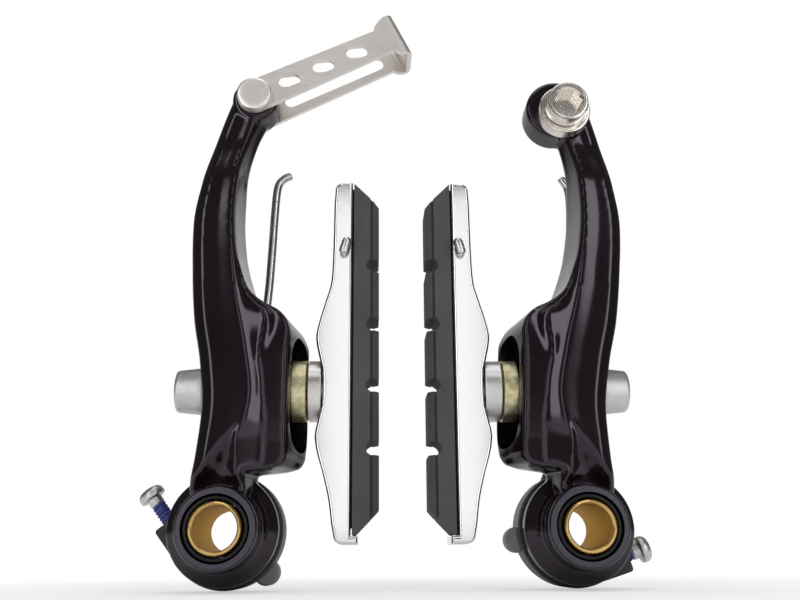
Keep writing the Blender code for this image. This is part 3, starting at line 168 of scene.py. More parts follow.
SHOE_DEPTH = 0.0104
SHOE_ABOVE = 0.0430
SHOE_BELOW = 0.0296
SHOE_END_THICKNESS = 0.0092
SHOE_SEAT_THICKNESS = 0.0110
SHOE_BULGE_THICKNESS = 0.0125
HOLDER_EDGE = 0.0006
HOLDER_LIP = 0.0014
RUBBER_TOP_CHAMFER = 0.0050
RUBBER_BOTTOM_CHAMFER = 0.0046
RUBBER_EDGE_CHAMFER = 0.0013
GROOVE_WIDTH = 0.0026
GROOVE_DEPTH = 0.0026
GROOVE_PITCH = 0.0123
GROOVE_COUNT = 4
GROOVE_TOP = 0.0251
CHANNEL_DEPTH = 0.0026
CHANNEL_MOUTH = 0.0062
CHANNEL_FLOOR = 0.0078
CHANNEL_END = 0.0028
PIN_HEIGHT = 0.0286
PIN_RADIUS = 0.0007
PIN_REACH = 0.0009
PIN_TILT = math.radians(-16.0)

LINK_PIN_OUT = -0.0034
LINK_PIN_UP = 0.0881
LINK_ANGLE = math.radians(26.3)
LINK_LENGTH = 0.0347
LINK_SHEET = 0.0010
LINK_HALF_WIDTH = 0.0036
LINK_FLARE = 0.0017
LINK_BEND = 0.0018
LINK_HOLE_PITCH = 0.0079
LINK_FIRST_HOLE = 0.0080
LINK_HOLES = 3
LINK_HOLE_FLAT = 0.0010
LINK_HOLE_RADIUS = 0.00135
LINK_SEAT_RADIUS = 0.0022
LINK_SEAT_SLOT = 0.0022
RIVET_RADIUS = 0.0024
RIVET_HEAD_RADIUS = 0.0036
RIVET_HEAD_HEIGHT = 0.0011

ANCHOR_OUT = -0.0040
ANCHOR_UP = 0.0846
EYE_OUT = -0.0051
EYE_UP = 0.0863
EYE_RADIUS = 0.0064
ANCHOR_WASHER_RADIUS = 0.0054
ANCHOR_WASHER_THICKNESS = 0.0029
ANCHOR_BOLT_RADIUS = 0.0030
ANCHOR_HEAD_RADIUS = 0.0042
ANCHOR_HEAD_HEIGHT = 0.0036
ANCHOR_SOCKET = 0.0050
ANCHOR_SOCKET_DEPTH = 0.0026

PEG_OUT = 0.0053
PEG_UP = 0.0684
PEG_RADIUS = 0.0012
PEG_DEPTH = 0.0040

# The free leg of each return spring, as (out, up) points from the pivot
LEG_SHAPE = {
    "left": [(-0.0030, 0.01243), (-0.0028, 0.01598), (-0.0034, 0.02744), (-0.0055, 0.04760),
             (-0.0061, 0.05728), (-0.0065, 0.06793), (-0.0070, 0.07477), (-0.0083, 0.07690),
             (-0.0100, 0.07779)],
    "right": [(-0.0030, 0.01243), (-0.0028, 0.01598), (0.0004, 0.03055), (0.0038, 0.05328),
              (0.0046, 0.06465), (0.0049, 0.07104), (0.0046, 0.07512), (0.0032, 0.07761)],
}

# The rubber's seam with its holder lies 1 mm further from the braking face than in the solids
RUBBER_THICKNESS = 0.0054

# A round screw head is a little wider than the solids' faceted one, so it is made this much smaller
SCREW_HEAD_TRIM = 0.00012

# The spine's front ends above the hub on a slant, and drops back below it by the setback
NECK_END = 0.0046
NECK_SLANT = 1.32
NECK_FALL = 0.0042
NECK_SETBACK = 0.0026

# How far a cutter runs past the face that it cuts
PAST = 0.001

# Floor and camera
FLOOR_REACH = 1.5
FLOOR_DROP = 0.0002
CAMERA_PLACE = (-0.00631, -0.190, -0.00569)
CAMERA_LENS = 40.92
CAMERA_PITCH = math.radians(15.98)
CAMERA_TURN = math.radians(-2.0)
CAMERA_ROLL = math.radians(-0.4)

# Every finish by its name, once the first step has mixed them
FINISHES = {}


# Shape helpers


def arc(centre, radius, start, end, steps):
    """Points on an arc of a circle."""
    return [
        (
            centre[0] + radius * math.cos(start + (end - start) * i / steps),
            centre[1] + radius * math.sin(start + (end - start) * i / steps),
        )
        for i in range(steps + 1)
    ]


def obround(centre, half_width, below, above, steps=20):
    """An upright slot outline with round ends."""
    low = (centre[0], centre[1] - below)
    high = (centre[0], centre[1] + above)
    return (arc(high, half_width, 0, math.pi, steps)
            + arc(low, half_width, math.pi, 2 * math.pi, steps))


def hexagon(across_flats):
    """A hexagon outline about the origin."""
    radius = across_flats / math.sqrt(3)
    return [(radius * math.cos(math.radians(60 * k)), radius * math.sin(math.radians(60 * k)))
            for k in range(6)]


def rounded(profile, size, steps=3):
    """A profile with each corner cut back by up to size and rounded."""
    out = []
    count = len(profile)
    for i, at in enumerate(profile):
        here = Vector(at)
        before, after = Vector(profile[i - 1]) - here, Vector(profile[(i + 1) % count]) - here
        cut = min(size, before.length * 0.45, after.length * 0.45)
        first, last = here + before.normalized() * cut, here + after.normalized() * cut
        for k in range(steps + 1):
            t = k / steps
            out.append(tuple((1 - t) ** 2 * first + 2 * t * (1 - t) * here + t**2 * last))
    return out


def loft(rings):
    """A closed skin over rings of equally many points."""
    bm = bmesh.new()
    rows = [[bm.verts.new(point) for point in ring] for ring in rings]
    count = len(rows[0])
    for low, high in zip(rows, rows[1:]):
        for i in range(count):
            j = (i + 1) % count
            bm.faces.new((low[i], low[j], high[j], high[i]))
    bm.faces.new(list(reversed(rows[0])))
    bm.faces.new(rows[-1])
    return bm


def inset(outline, distance):
    """A closed outline drawn in by a distance, whichever way round it runs."""
    count = len(outline)
    area = sum(outline[i - 1][0] * outline[i][1] - outline[i][0] * outline[i - 1][1]
               for i in range(count))
    way = 1 if area > 0 else -1
    points = [Vector(p) for p in outline]
    made = []
    for i, point in enumerate(points):
        before = (point - points[i - 1]).normalized()
        after = (points[(i + 1) % count] - point).normalized()
        inward = Vector((-before.y - after.y, before.x + after.x)).normalized() * way
        lean = max(inward.dot(Vector((-after.y, after.x)) * way), 0.5)
        made.append(tuple(point + inward * (distance / lean)))
    return made


def rounded_plate(outline, low, high, radius, steps=6):
    """An outline of (out, up) points pushed along Y, with the edges of both faces rounded."""
    rings = []
    for end, way in ((low, 1), (high, -1)):
        part = []
        for k in range(steps + 1):
            angle = math.pi / 2 * k / steps
            drawn = inset(outline, radius * (1 - math.sin(angle)))
            y = end + way * radius * (1 - math.cos(angle))
            part.append([(out, y, up) for out, up in drawn])
        rings += part if way > 0 else part[::-1]
    return loft(rings)


def turned(profile, segments, axis="Y"):
    """A ring turned from a closed profile of (radius, place) points."""
    bm = bmesh.new()
    columns = []
    for k in range(segments):
        angle = 2 * math.pi * k / segments
        across, along = math.cos(angle), math.sin(angle)
        columns.append([
            bm.verts.new((radius * across, place, radius * along) if axis == "Y"
                         else (place, radius * across, radius * along))
            for radius, place in profile
        ])
    count = len(profile)
    for k in range(segments):
        here, there = columns[k], columns[(k + 1) % segments]
        for i in range(count):
            j = (i + 1) % count
            bm.faces.new((here[i], here[j], there[j], there[i]))
    return bm


def rod(profile, segments, axis="Y"):
    """A solid turned piece from an open profile of (radius, place) points."""
    rings = []
    for radius, place in profile:
        ring = []
        for k in range(segments):
            angle = 2 * math.pi * k / segments
            across, along = radius * math.cos(angle), radius * math.sin(angle)
            ring.append((across, place, along) if axis == "Y" else (place, across, along))
        rings.append(ring)
    return loft(rings)


def drill(radius, start, end, segments, axis="Y"):
    """A plain round bar between two places on an axis, mostly to cut with."""
    return rod([(radius, start), (radius, end)], segments, axis)


def prism(outline, low, high, axis="Y"):
    """An outline of (a, b) points pushed from low to high along an axis."""
    order = {
        "Y": lambda a, b, c: (a, c, b),
        "X": lambda a, b, c: (c, a, b),
        "Z": lambda a, b, c: (a, b, c),
    }[axis]
    return loft([[order(a, b, place) for a, b in outline] for place in (low, high)])


def turn(bm, angle, axis="Y"):
    """Turn a bmesh about an axis through the origin."""
    bmesh.ops.rotate(bm, cent=(0, 0, 0), matrix=Matrix.Rotation(angle, 3, axis), verts=bm.verts)
    return bm


def shift(bm, vector):
    """Move a bmesh."""
    bmesh.ops.translate(bm, vec=vector, verts=bm.verts)
    return bm


def solid(name, bm):
    """A linked object with outward faces from a bmesh."""
    bmesh.ops.remove_doubles(bm, verts=bm.verts, dist=1e-7)
    bmesh.ops.recalc_face_normals(bm, faces=bm.faces)
    mesh = bpy.data.meshes.new(name)
    bm.to_mesh(mesh)
    bm.free()
    made = bpy.data.objects.new(name, mesh)
    bpy.context.scene.collection.objects.link(made)
    return made


def settled(made):
    """The object with its modifiers worked into its mesh."""
    bpy.context.view_layer.update()
    graph = bpy.context.evaluated_depsgraph_get()
    mesh = bpy.data.meshes.new_from_object(made.evaluated_get(graph))
    made.modifiers.clear()
    made.data = mesh
    return made


def worked(made, *steps):
    """Fuse or cut other shapes: each step is (operation, bmesh)."""
    tools = []
    for operation, bm in steps:
        tool = solid("tool", bm)
        tools.append(tool)
        modifier = made.modifiers.new("work", "BOOLEAN")
        modifier.operation, modifier.solver, modifier.object = operation, "EXACT", tool
    settled(made)
    for tool in tools:
        bpy.data.objects.remove(tool, do_unlink=True)
    return made


def bevelled(made, width, segments=2, angle=35):
    """Round every edge that is sharper than an angle."""
    modifier = made.modifiers.new("edges", "BEVEL")
    modifier.width, modifier.segments = width, segments
    modifier.limit_method, modifier.angle_limit = "ANGLE", math.radians(angle)
    modifier.use_clamp_overlap = True
    return settled(made)


def follow(points, value):
    """Smooth value from (key, value) pairs that never overshoots between two of them."""
    keys = [point[0] for point in points]
    values = [point[1] for point in points]
    if value <= keys[0]:
        return values[0]
    if value >= keys[-1]:
        return values[-1]
    slopes = [(values[i + 1] - values[i]) / (keys[i + 1] - keys[i]) for i in range(len(keys) - 1)]
    tangents = [slopes[0]]
    for before, after in zip(slopes, slopes[1:]):
        same_way = before * after > 0
        tangents.append(2 * before * after / (before + after) if same_way else 0.0)
    tangents.append(slopes[-1])
    i = max(k for k in range(len(keys) - 1) if keys[k] <= value)
    span = keys[i + 1] - keys[i]
    t = (value - keys[i]) / span
    return ((2 * t**3 - 3 * t**2 + 1) * values[i] + (t**3 - 2 * t**2 + t) * span * tangents[i]
            + (3 * t**2 - 2 * t**3) * values[i + 1] + (t**3 - t**2) * span * tangents[i + 1])


def frames(side):
    """The pivot's, the arm's and the post's places as matrices."""
    pivot = Matrix.Translation((SIDES[side] * HALF_SPACING, 0, 0))
    arm = pivot @ Matrix.Rotation(ARM_LEAN[side], 4, "Y")
    post = Matrix.Translation((arm @ Vector((0, 0, POST_HEIGHT))) + Vector((0, POST_Y, 0)))
    return {"pivot": pivot, "arm": arm, "post": post}


def sided(side):
    """Matrix that takes a shape built for the right arm to a side."""
    return Matrix.Scale(SIDES[side], 4, (1, 0, 0))


def head_place(side):
    """Centre of the link's rivet on the left arm, or of the anchor bolt on the right one."""
    out, up = (LINK_PIN_OUT, LINK_PIN_UP) if side == "left" else (ANCHOR_OUT, ANCHOR_UP)
    return frames(side)["arm"] @ Vector((SIDES[side] * out, 0, up))


def body_of(node):
    """Name of the body that carries a node."""
    return next(name for name, nodes in frame["record"]["behaviour"]["bodies"].items()
                if node in nodes)


def dress(made, node, place, finish, sharp=35, flat_faces=True):
    """Put a shape in its place, give it a finish and let it stand for its node."""
    name = f"{node}_detail"
    made.name = name
    made.data.name = name
    made.data.transform(place)
    bm = bmesh.new()
    bm.from_mesh(made.data)
    bmesh.ops.recalc_face_normals(bm, faces=bm.faces)
    bm.to_mesh(made.data)
    bm.free()
    made.data.shade_smooth()
    made.data.set_sharp_from_angle(angle=math.radians(sharp))
    if flat_faces:
        made.modifiers.new("shade", "WEIGHTED_NORMAL").keep_sharp = True
        settled(made)
        made.data.name = name
    made.data.materials.clear()
    made.data.materials.append(FINISHES[finish])
    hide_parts(node)
    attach(made, body_of(node))
    return made


# Finishes


class Value:
    """One output of a shader node, which Python's own operators join to others."""

    def __init__(self, shading, socket):
        self.shading = shading
        self.socket = socket

    def joined(self, operation, other, turned_round=False):
        """A Math node on this value and another value or number."""
        first, second = (other, self) if turned_round else (self, other)
        return self.shading.node("ShaderNodeMath", {"operation": operation}, {0: first, 1: second})

    def __add__(self, other):
        return self.joined("ADD", other)

    def __radd__(self, other):
        return self.joined("ADD", other, True)

    def __sub__(self, other):
        return self.joined("SUBTRACT", other)

    def __rsub__(self, other):
        return self.joined("SUBTRACT", other, True)

    def __mul__(self, other):
        return self.joined("MULTIPLY", other)

    def __rmul__(self, other):
        return self.joined("MULTIPLY", other, True)


class Shading:
    """A shader tree that is written as expressions."""

    def __init__(self, tree):
        self.tree = tree

    def node(self, kind, settings=None, inputs=None, output=0):
        """Any node, by its type, its settings and the values or links of its sockets."""
        made = self.tree.nodes.new(kind)
        for key, value in (settings or {}).items():
            setattr(made, key, value)
        for key, value in (inputs or {}).items():
            self.plug(made.inputs[key], value)
        return Value(self, made.outputs[output])

    def plug(self, socket, value):
        """Give a socket a link or a plain value."""
        if isinstance(value, Value):
            self.tree.links.new(value.socket, socket)
        else:
            socket.default_value = value

    def place(self, centre=(0, 0, 0), rotation=(0, 0, 0), scale=(1, 1, 1)):
        """Object coordinates about a centre, turned and stretched."""
        here = self.node("ShaderNodeTexCoord", output="Object")
        moved = self.node("ShaderNodeVectorMath", {"operation": "SUBTRACT"}, {0: here, 1: centre})
        return self.node("ShaderNodeMapping", {"vector_type": "POINT"},
                         {"Vector": moved, "Rotation": rotation, "Scale": scale})

    def noise(self, scale, detail=2.0, roughness=0.5, where=None):
        """Even noise from 0 to 1."""
        return self.node("ShaderNodeTexNoise", None,
                         {"Vector": where or self.place(), "Scale": scale, "Detail": detail,
                          "Roughness": roughness}, "Fac")

    def specks(self, scale, where=None):
        """Distance to the nearest of many scattered points."""
        return self.node("ShaderNodeTexVoronoi", None,
                         {"Vector": where or self.place(), "Scale": scale}, "Distance")

    def between(self, factor, low, high):
        """A colour between two others."""
        colours = {key: value if isinstance(value, Value) else (*value, 1.0)
                   for key, value in ((6, low), (7, high))}
        return self.node("ShaderNodeMix", {"data_type": "RGBA"}, {0: factor, **colours}, 2)

    def ramp(self, factor, low, high, at=(0.3, 0.7)):
        """A value from low to high as a factor runs over a range."""
        return self.node("ShaderNodeMapRange", {"clamp": True},
                         {"Value": factor, "From Min": at[0], "From Max": at[1],
                          "To Min": low, "To Max": high})

    def relief(self, height, distance, strength=1.0):
        """A normal raised by a height from 0 to 1, in metres of distance."""
        return self.node("ShaderNodeBump", None,
                         {"Height": height, "Distance": distance, "Strength": strength}, "Normal")

    def attribute(self, name):
        """A number that the piece's own mesh carries."""
        return self.node("ShaderNodeAttribute", {"attribute_name": name}, None, "Fac")

    def ahead(self, where):
        """The Y coordinate of a place."""
        return self.node("ShaderNodeSeparateXYZ", None, {0: where}, "Y")

    def waves(self, value):
        """Even waves from -1 to 1 along a value."""
        return self.node("ShaderNodeMath", {"operation": "SINE"}, {0: value})

    def radius(self, where):
        """Distance from the Y axis of the given coordinates."""
        flat = self.node("ShaderNodeVectorMath", {"operation": "MULTIPLY"}, {0: where, 1: (1, 0, 1)})
        return self.node("ShaderNodeVectorMath", {"operation": "LENGTH"}, {0: flat}, "Value")


class Finish(Shading):
    """A Principled material."""

    def __init__(self, name, metallic=0.0, specular=0.5, gleam=None):
        self.material = bpy.data.materials.new(name)
        self.material.use_nodes = True
        super().__init__(self.material.node_tree)
        self.shader = self.tree.nodes["Principled BSDF"]
        self.shader.inputs["Metallic"].default_value = metallic
        self.shader.inputs["Specular IOR Level"].default_value = specular
        if gleam:
            self.shader.inputs["Specular Tint"].default_value = (*gleam, 1.0)

    def put(self, **inputs):
        """Feed the shader's own sockets, with _ for a space in a name."""
        for key, value in inputs.items():
            self.plug(self.shader.inputs[key.replace("_", " ")], value)
        return self.material


def black_paint(colours, side):
    """Thick glossy black paint on a casting, with a satin ring on the front of its hub."""
    finish = Finish(f"{side}_gloss_paint", specular=0.62, gleam=(0.94, 0.84, 1.0))
    here = finish.place((SIDES[side] * HALF_SPACING, 0, 0))
    cloud = finish.noise(38.0, 3.0, where=here)
    peel = finish.noise(520.0, 2.0, 0.55, here)
    fine = finish.noise(2600.0, 2.0, 0.6, here)
    dust = finish.ramp(finish.specks(420.0, here), 1.0, 0.0, (0.02, 0.06))
    facing = finish.ramp(finish.ahead(here), 1.0, 0.0, (HUB_FACE + 0.0001, HUB_FACE + 0.0003))
    ring = finish.ramp(finish.radius(here), 1.0, 0.0, (COLLAR_RADIUS - 0.0004, COLLAR_RADIUS - 0.0001))
    satin = facing * ring
    base = finish.between(cloud, tuple(colours.paint), tuple(colours.paint_tint))
    base = finish.between(dust * 0.10, base, (0.08, 0.08, 0.08))
    return finish.put(
        Base_Color=finish.between(satin, base, (0.040, 0.036, 0.048)),
        Roughness=finish.ramp(cloud, 0.10, 0.17) + satin * 0.28,
        Normal=finish.relief(peel + satin * fine, 0.00002, 0.30))


def case_plastic(colours, side):
    """Black moulded plastic with a fine grain; its stop lug is coloured a satin grey."""
    finish = Finish(f"{side}_moulded_plastic")
    centre = (SIDES[side] * HALF_SPACING, 0, 0)
    here = finish.place(centre)
    grain = finish.noise(2600.0, 2.0, 0.6, here)
    flow = finish.noise(60.0, 3.0, where=here)
    lug = Matrix.Translation(centre) @ case_pose(side) @ lug_place()
    near_lug = finish.ramp(finish.radius(finish.place(tuple(lug))), 1.0, 0.0,
                           (LUG_RADIUS - 0.0001, LUG_RADIUS + 0.0002))
    outside = finish.ramp(finish.radius(here), 0.0, 1.0,
                          (CASE_RADIUS - 0.0001, CASE_RADIUS + 0.0002))
    # Only the outside of the stop lug takes the plain grey lug colour
    worn = near_lug * outside
    base = finish.between(flow, tuple(colours.plastic), (0.024, 0.024, 0.026))
    return finish.put(
        Base_Color=finish.between(worn, base, tuple(colours.lug)),
        Roughness=finish.ramp(flow * 0.6 + grain * 0.4, 0.32, 0.52),
        Normal=finish.relief(grain, 0.00003, 0.5))


def liner_plastic(colours):
    """Smooth low-friction plastic of the bush."""
    finish = Finish("bush_plastic", specular=0.3)
    marks = finish.noise(900.0, 3.0)
    return finish.put(
        Base_Color=finish.between(marks, (0.007, 0.006, 0.006), tuple(colours.plastic)),
        Roughness=finish.ramp(marks, 0.28, 0.46),
        Normal=finish.relief(marks, 0.00002, 0.3))


def turned_metal(name, centre, colour, tint, low, high):
    """Plated metal with the fine rings that turning leaves about a centre."""
    finish = Finish(name, metallic=1.0)
    here = finish.place(centre)
    rings = finish.waves(finish.radius(here) * 10400.0)
    patch = finish.noise(210.0, 4.0, 0.6, here)
    fine = finish.noise(2400.0, 2.0, 0.6, here)
    return finish.put(
        Base_Color=finish.between(finish.ramp(patch, 0.0, 1.0, (0.35, 0.65)), colour, tint),
        Roughness=finish.ramp(patch * 0.6 + fine * 0.4, low, high),
        Normal=finish.relief(rings * 0.35 + fine, 0.000012, 0.6))


def gold_plate(colours, side):
    """Gold-coloured plating in its plain colour on the chamfered rim, with painted shade: darker gold
    inside the bore and on the serrated band between the teeth.
    """
    finish = Finish(f"{side}_gold_plate", metallic=1.0, gleam=(0.92, 0.70, 0.40))
    here = finish.place((SIDES[side] * HALF_SPACING, 0, 0))
    far = finish.radius(here)
    ahead = finish.ahead(here)
    patch = finish.noise(240.0, 4.0, 0.6, here)
    fine = finish.noise(2400.0, 2.0, 0.6, here)
    front = finish.ramp(ahead, 1.0, 0.0, (-SLEEVE_LENGTH + 0.0002, -SLEEVE_LENGTH + 0.0006))
    inside = finish.ramp(far, 1.0, 0.0, (SLEEVE_BORE / 2 + 0.00003, SLEEVE_BORE / 2 + 0.00015))
    outside = finish.ramp(far, 0.0, 1.0, (SLEEVE_RADIUS - 0.0003, SLEEVE_RADIUS - 0.0002))
    plain = finish.between(patch, tuple(colours.gold), tuple(colours.gold_tint))
    # Painted shade: a darker gold laid inside the bore, where the recess is in shade
    deep = finish.between(patch, (0.42, 0.24, 0.070), (0.62, 0.40, 0.150))
    # Painted shade: a darker gold laid on the serrated band, standing in for the shade between its
    # teeth
    knurl_shade = finish.between(patch, (0.26, 0.13, 0.025), (0.50, 0.28, 0.07))
    colour = finish.between(inside * (1 - front), plain, deep)
    rings = finish.waves(ahead * 16000.0)
    return finish.put(
        Base_Color=finish.between(outside, colour, knurl_shade),
        Roughness=finish.ramp(patch * 0.5 + fine * 0.5, 0.22, 0.32) + inside * (1 - front) * 0.18,
        Normal=finish.relief(fine + rings * 0.3 * inside, 0.000012, 0.6))


def plated_metal(name, colour, tint, low, high, scale=260.0, tooth=0.5):
    """Zinc-plated steel with a faint mottle."""
    finish = Finish(name, metallic=1.0)
    patch = finish.noise(scale, 4.0, 0.6)
    fine = finish.noise(2800.0, 2.0, 0.6)
    return finish.put(
        Base_Color=finish.between(finish.ramp(patch, 0.0, 1.0, (0.35, 0.65)), colour, tint),
        Roughness=finish.ramp(patch * 0.5 + fine * 0.5, low, high),
        Normal=finish.relief(fine, 0.000010, tooth))


def brushed_metal(name, colour, tint, low, high, angle, stretch=(14.0, 1.0, 1.0), depth=0.6):
    """Metal with fine straight marks, laid along X turned by an angle about Y."""
    finish = Finish(name, metallic=1.0)
    along = finish.place(rotation=(0, angle, 0), scale=tuple(1.0 / s for s in stretch))
    marks = finish.noise(3600.0, 3.0, 0.65, along)
    patch = finish.noise(90.0, 3.0)
    return finish.put(
        Base_Color=finish.between(finish.ramp(patch * 0.6 + marks * 0.4, 0.0, 1.0), colour, tint),
        Roughness=finish.ramp(marks * 0.6 + patch * 0.4, low, high),
        Normal=finish.relief(marks, 0.000012, depth))


def block_rubber(colours):
    """Moulded brake rubber, dry and slightly dusty, with a fine tooth."""
    finish = Finish("pad_rubber", specular=0.3)
    tooth = finish.noise(1500.0, 4.0, 0.7)
    bloom = finish.noise(70.0, 4.0, 0.6)
    return finish.put(
        Base_Color=finish.between(finish.ramp(bloom * 0.7 + tooth * 0.3, 0.0, 1.0),
                                  tuple(colours.rubber), tuple(colours.rubber_bloom)),
        Roughness=finish.ramp(tooth * 0.5 + bloom * 0.5, 0.62, 0.86),
        Normal=finish.relief(tooth, 0.00006, 0.6))


def patched_thread(colours):
    """Plated screw whose threads carry a band of coloured thread-locking patch."""
    finish = Finish("patched_screw")
    along = finish.attribute("along")
    ragged = along + (finish.noise(900.0, 3.0) - 0.5) * 0.0005
    band = finish.ramp(ragged, 1.0, 0.0, (0.0063, 0.0065))
    chips = finish.ramp(finish.noise(1300.0, 3.0, 0.6), 0.0, 1.0, (0.27, 0.31))
    worn = band * chips
    fine = finish.noise(2600.0, 2.0, 0.6)
    blue = finish.between(fine, tuple(colours.patch), tuple(colours.patch_light))
    silver = finish.between(fine, (0.60, 0.60, 0.59), (0.78, 0.77, 0.75))
    return finish.put(
        Base_Color=finish.between(worn, silver, blue),
        Metallic=1.0 - worn,
        Roughness=finish.ramp(fine, 0.34, 0.44) + worn * 0.14,
        Normal=finish.relief(fine, 0.00001, 0.1))


def made_finishes(colours):
    """Every finish of the brake, by the name that the pieces use."""
    made = {
        "liner": liner_plastic(colours),
        "rubber": block_rubber(colours),
        "wire": plated_metal("spring_wire", (0.58, 0.58, 0.59), (0.74, 0.74, 0.73), 0.24, 0.28,
                             500.0, 0.03),
        "zinc": plated_metal("bright_zinc", (0.66, 0.65, 0.63), (0.80, 0.79, 0.77), 0.26, 0.38),
        "satin_zinc": plated_metal("satin_zinc", (0.62, 0.62, 0.61), (0.74, 0.74, 0.73), 0.38, 0.50),
        "yellow_zinc": plated_metal("yellow_zinc", (0.56, 0.49, 0.26), (0.86, 0.80, 0.56), 0.28, 0.44,
                                    900.0),
        "screw": patched_thread(colours),
        "strap": brushed_metal("strap_steel", (0.84, 0.79, 0.75), (0.95, 0.91, 0.87), 0.38, 0.52,
                               LINK_ANGLE),
        "holder": brushed_metal("polished_holder", (0.86, 0.86, 0.87), (0.92, 0.92, 0.92), 0.07, 0.14,
                                math.pi / 2, depth=0.12),
        "bolt": turned_metal("bolt_steel", head_place("right"), (0.74, 0.69, 0.63),
                             (0.90, 0.86, 0.80), 0.18, 0.30),
        "rivet": turned_metal("rivet_steel", head_place("left"), (0.90, 0.87, 0.84),
                              (0.97, 0.94, 0.91), 0.34, 0.46),
    }
    for side in SIDES:
        made[f"{side}_paint"] = black_paint(colours, side)
        made[f"{side}_plastic"] = case_plastic(colours, side)
        made[f"{side}_gold"] = gold_plate(colours, side)
    return made


# Arms


def up_the_arm(share):
    """Height of a share of the way from the top of the slot housing to the arm's head."""
    return HOUSING_HIGH + share * (ARM_LENGTH - HOUSING_HIGH)


def arm_outer_edge(up):
    """Outer edge of the arm as its front is looked at."""
    return follow([
        (COLLAR_RADIUS, 0.0061),
        (HOUSING_LOW + 0.0030, 0.0051),
        (POST_HEIGHT - 0.0040, 0.0044),
        (POST_HEIGHT + 0.0045, 0.0052),
        (HOUSING_HIGH, 0.0068),
        (up_the_arm(0.18), 0.0076),
        (up_the_arm(0.41), 0.0081),
        (up_the_arm(0.60), 0.0070),
        (up_the_arm(0.79), 0.0048),
        (ARM_LENGTH, 0.0016),
        (ARM_LENGTH + 0.0020, 0.0008),
        (ARM_LENGTH + 0.0036, -0.0012),
    ], up)


def arm_inner_edge(up):
    """Inner edge of the arm: the slot housing below and the bare spine above."""
    return follow([
        (COLLAR_RADIUS, -0.0062),
        (HOUSING_LOW - 0.0006, -0.0065),
        (HOUSING_LOW - 0.0003, -0.0105),
        (HOUSING_LOW, HOUSING_INNER + 0.0018),
        (HOUSING_LOW + 0.0008, HOUSING_INNER + 0.0006),
        (HOUSING_LOW + 0.0026, HOUSING_INNER),
        (HOUSING_HIGH - 0.0042, HOUSING_INNER),
        (HOUSING_HIGH - 0.0010, HOUSING_INNER + 0.0012),
        (HOUSING_HIGH + 0.0014, HOUSING_INNER + 0.0036),
        (HOUSING_HIGH + 0.0030, HOUSING_INNER + 0.0070),
        (HOUSING_HIGH + 0.0056, HOUSING_INNER + 0.0104),
        (up_the_arm(0.20), -0.0032),
        (up_the_arm(0.34), -0.0016),
        (up_the_arm(0.48), -0.0011),
        (up_the_arm(0.64), -0.0016),
        (up_the_arm(0.80), -0.0039),
        (up_the_arm(0.94), -0.0068),
        (ARM_LENGTH, -0.0078),
        (ARM_LENGTH + 0.0036, -0.0060),
    ], up)


def arm_ridge(up):
    """Place across the arm of the ridge where the spine stands proudest."""
    return follow([
        (COLLAR_RADIUS, -0.0036),
        (HOUSING_LOW + 0.0012, -0.0025),
        (HOUSING_LOW + 0.0045, -0.0025),
        (POST_HEIGHT - 0.0062, -0.0044),
        (POST_HEIGHT - 0.0018, -0.0050),
        (POST_HEIGHT + 0.0070, -0.0038),
        (HOUSING_HIGH + 0.0070, -0.0011),
        (up_the_arm(0.48), 0.0002),
        (up_the_arm(0.64), -0.0002),
        (up_the_arm(0.80), -0.0020),
        (ARM_LENGTH, -0.0050),
    ], up)


def arm_front(up):
    """How far forward the ridge stands."""
    return follow([
        (COLLAR_RADIUS, HOUSING_FACE - 0.0002),
        (HOUSING_LOW - 0.0008, SPINE_FRONT + 0.0002),
        (POST_HEIGHT, SPINE_FRONT),
        (up_the_arm(0.25), SPINE_FRONT + 0.0003),
        (up_the_arm(0.60), HEAD_FRONT - 0.0013),
        (up_the_arm(0.82), HEAD_FRONT + 0.0002),
        (ARM_LENGTH, HEAD_FRONT + 0.0002),
    ], up)


def arm_back(up):
    """How far back the arm reaches: it clears the spring case below and the link above."""
    clear = CASE_RADIUS + GAP
    return follow([
        (clear, HUB_BACK - GAP),
        (clear + 0.0020, HUB_BACK + 0.0022),
        (clear + 0.0050, ARM_BACK - 0.0012),
        (clear + 0.0085, ARM_BACK),
        (HOUSING_HIGH, ARM_BACK),
        (up_the_arm(0.50), ARM_BACK - 0.0024),
        (up_the_arm(0.84), HEAD_BACK - 0.0003),
        (ARM_LENGTH, HEAD_BACK - 0.0003),
    ], up)


def clamped(share):
    """A share held between 0 and 1."""
    return min(max(share, 0.0), 1.0)


def neck_setback(out, y, up, back, ridge):
    """How far a front point of the spine drops back below its slanting end, above the hub."""
    end_up = HOUSING_LOW + NECK_END - NECK_SLANT * out
    below = clamped((end_up - up) / NECK_FALL)
    forward = clamped((back - 0.0040 - y) / 0.0060)
    across = clamped((out - ridge) / 0.0012)
    return NECK_SETBACK * below * forward * across


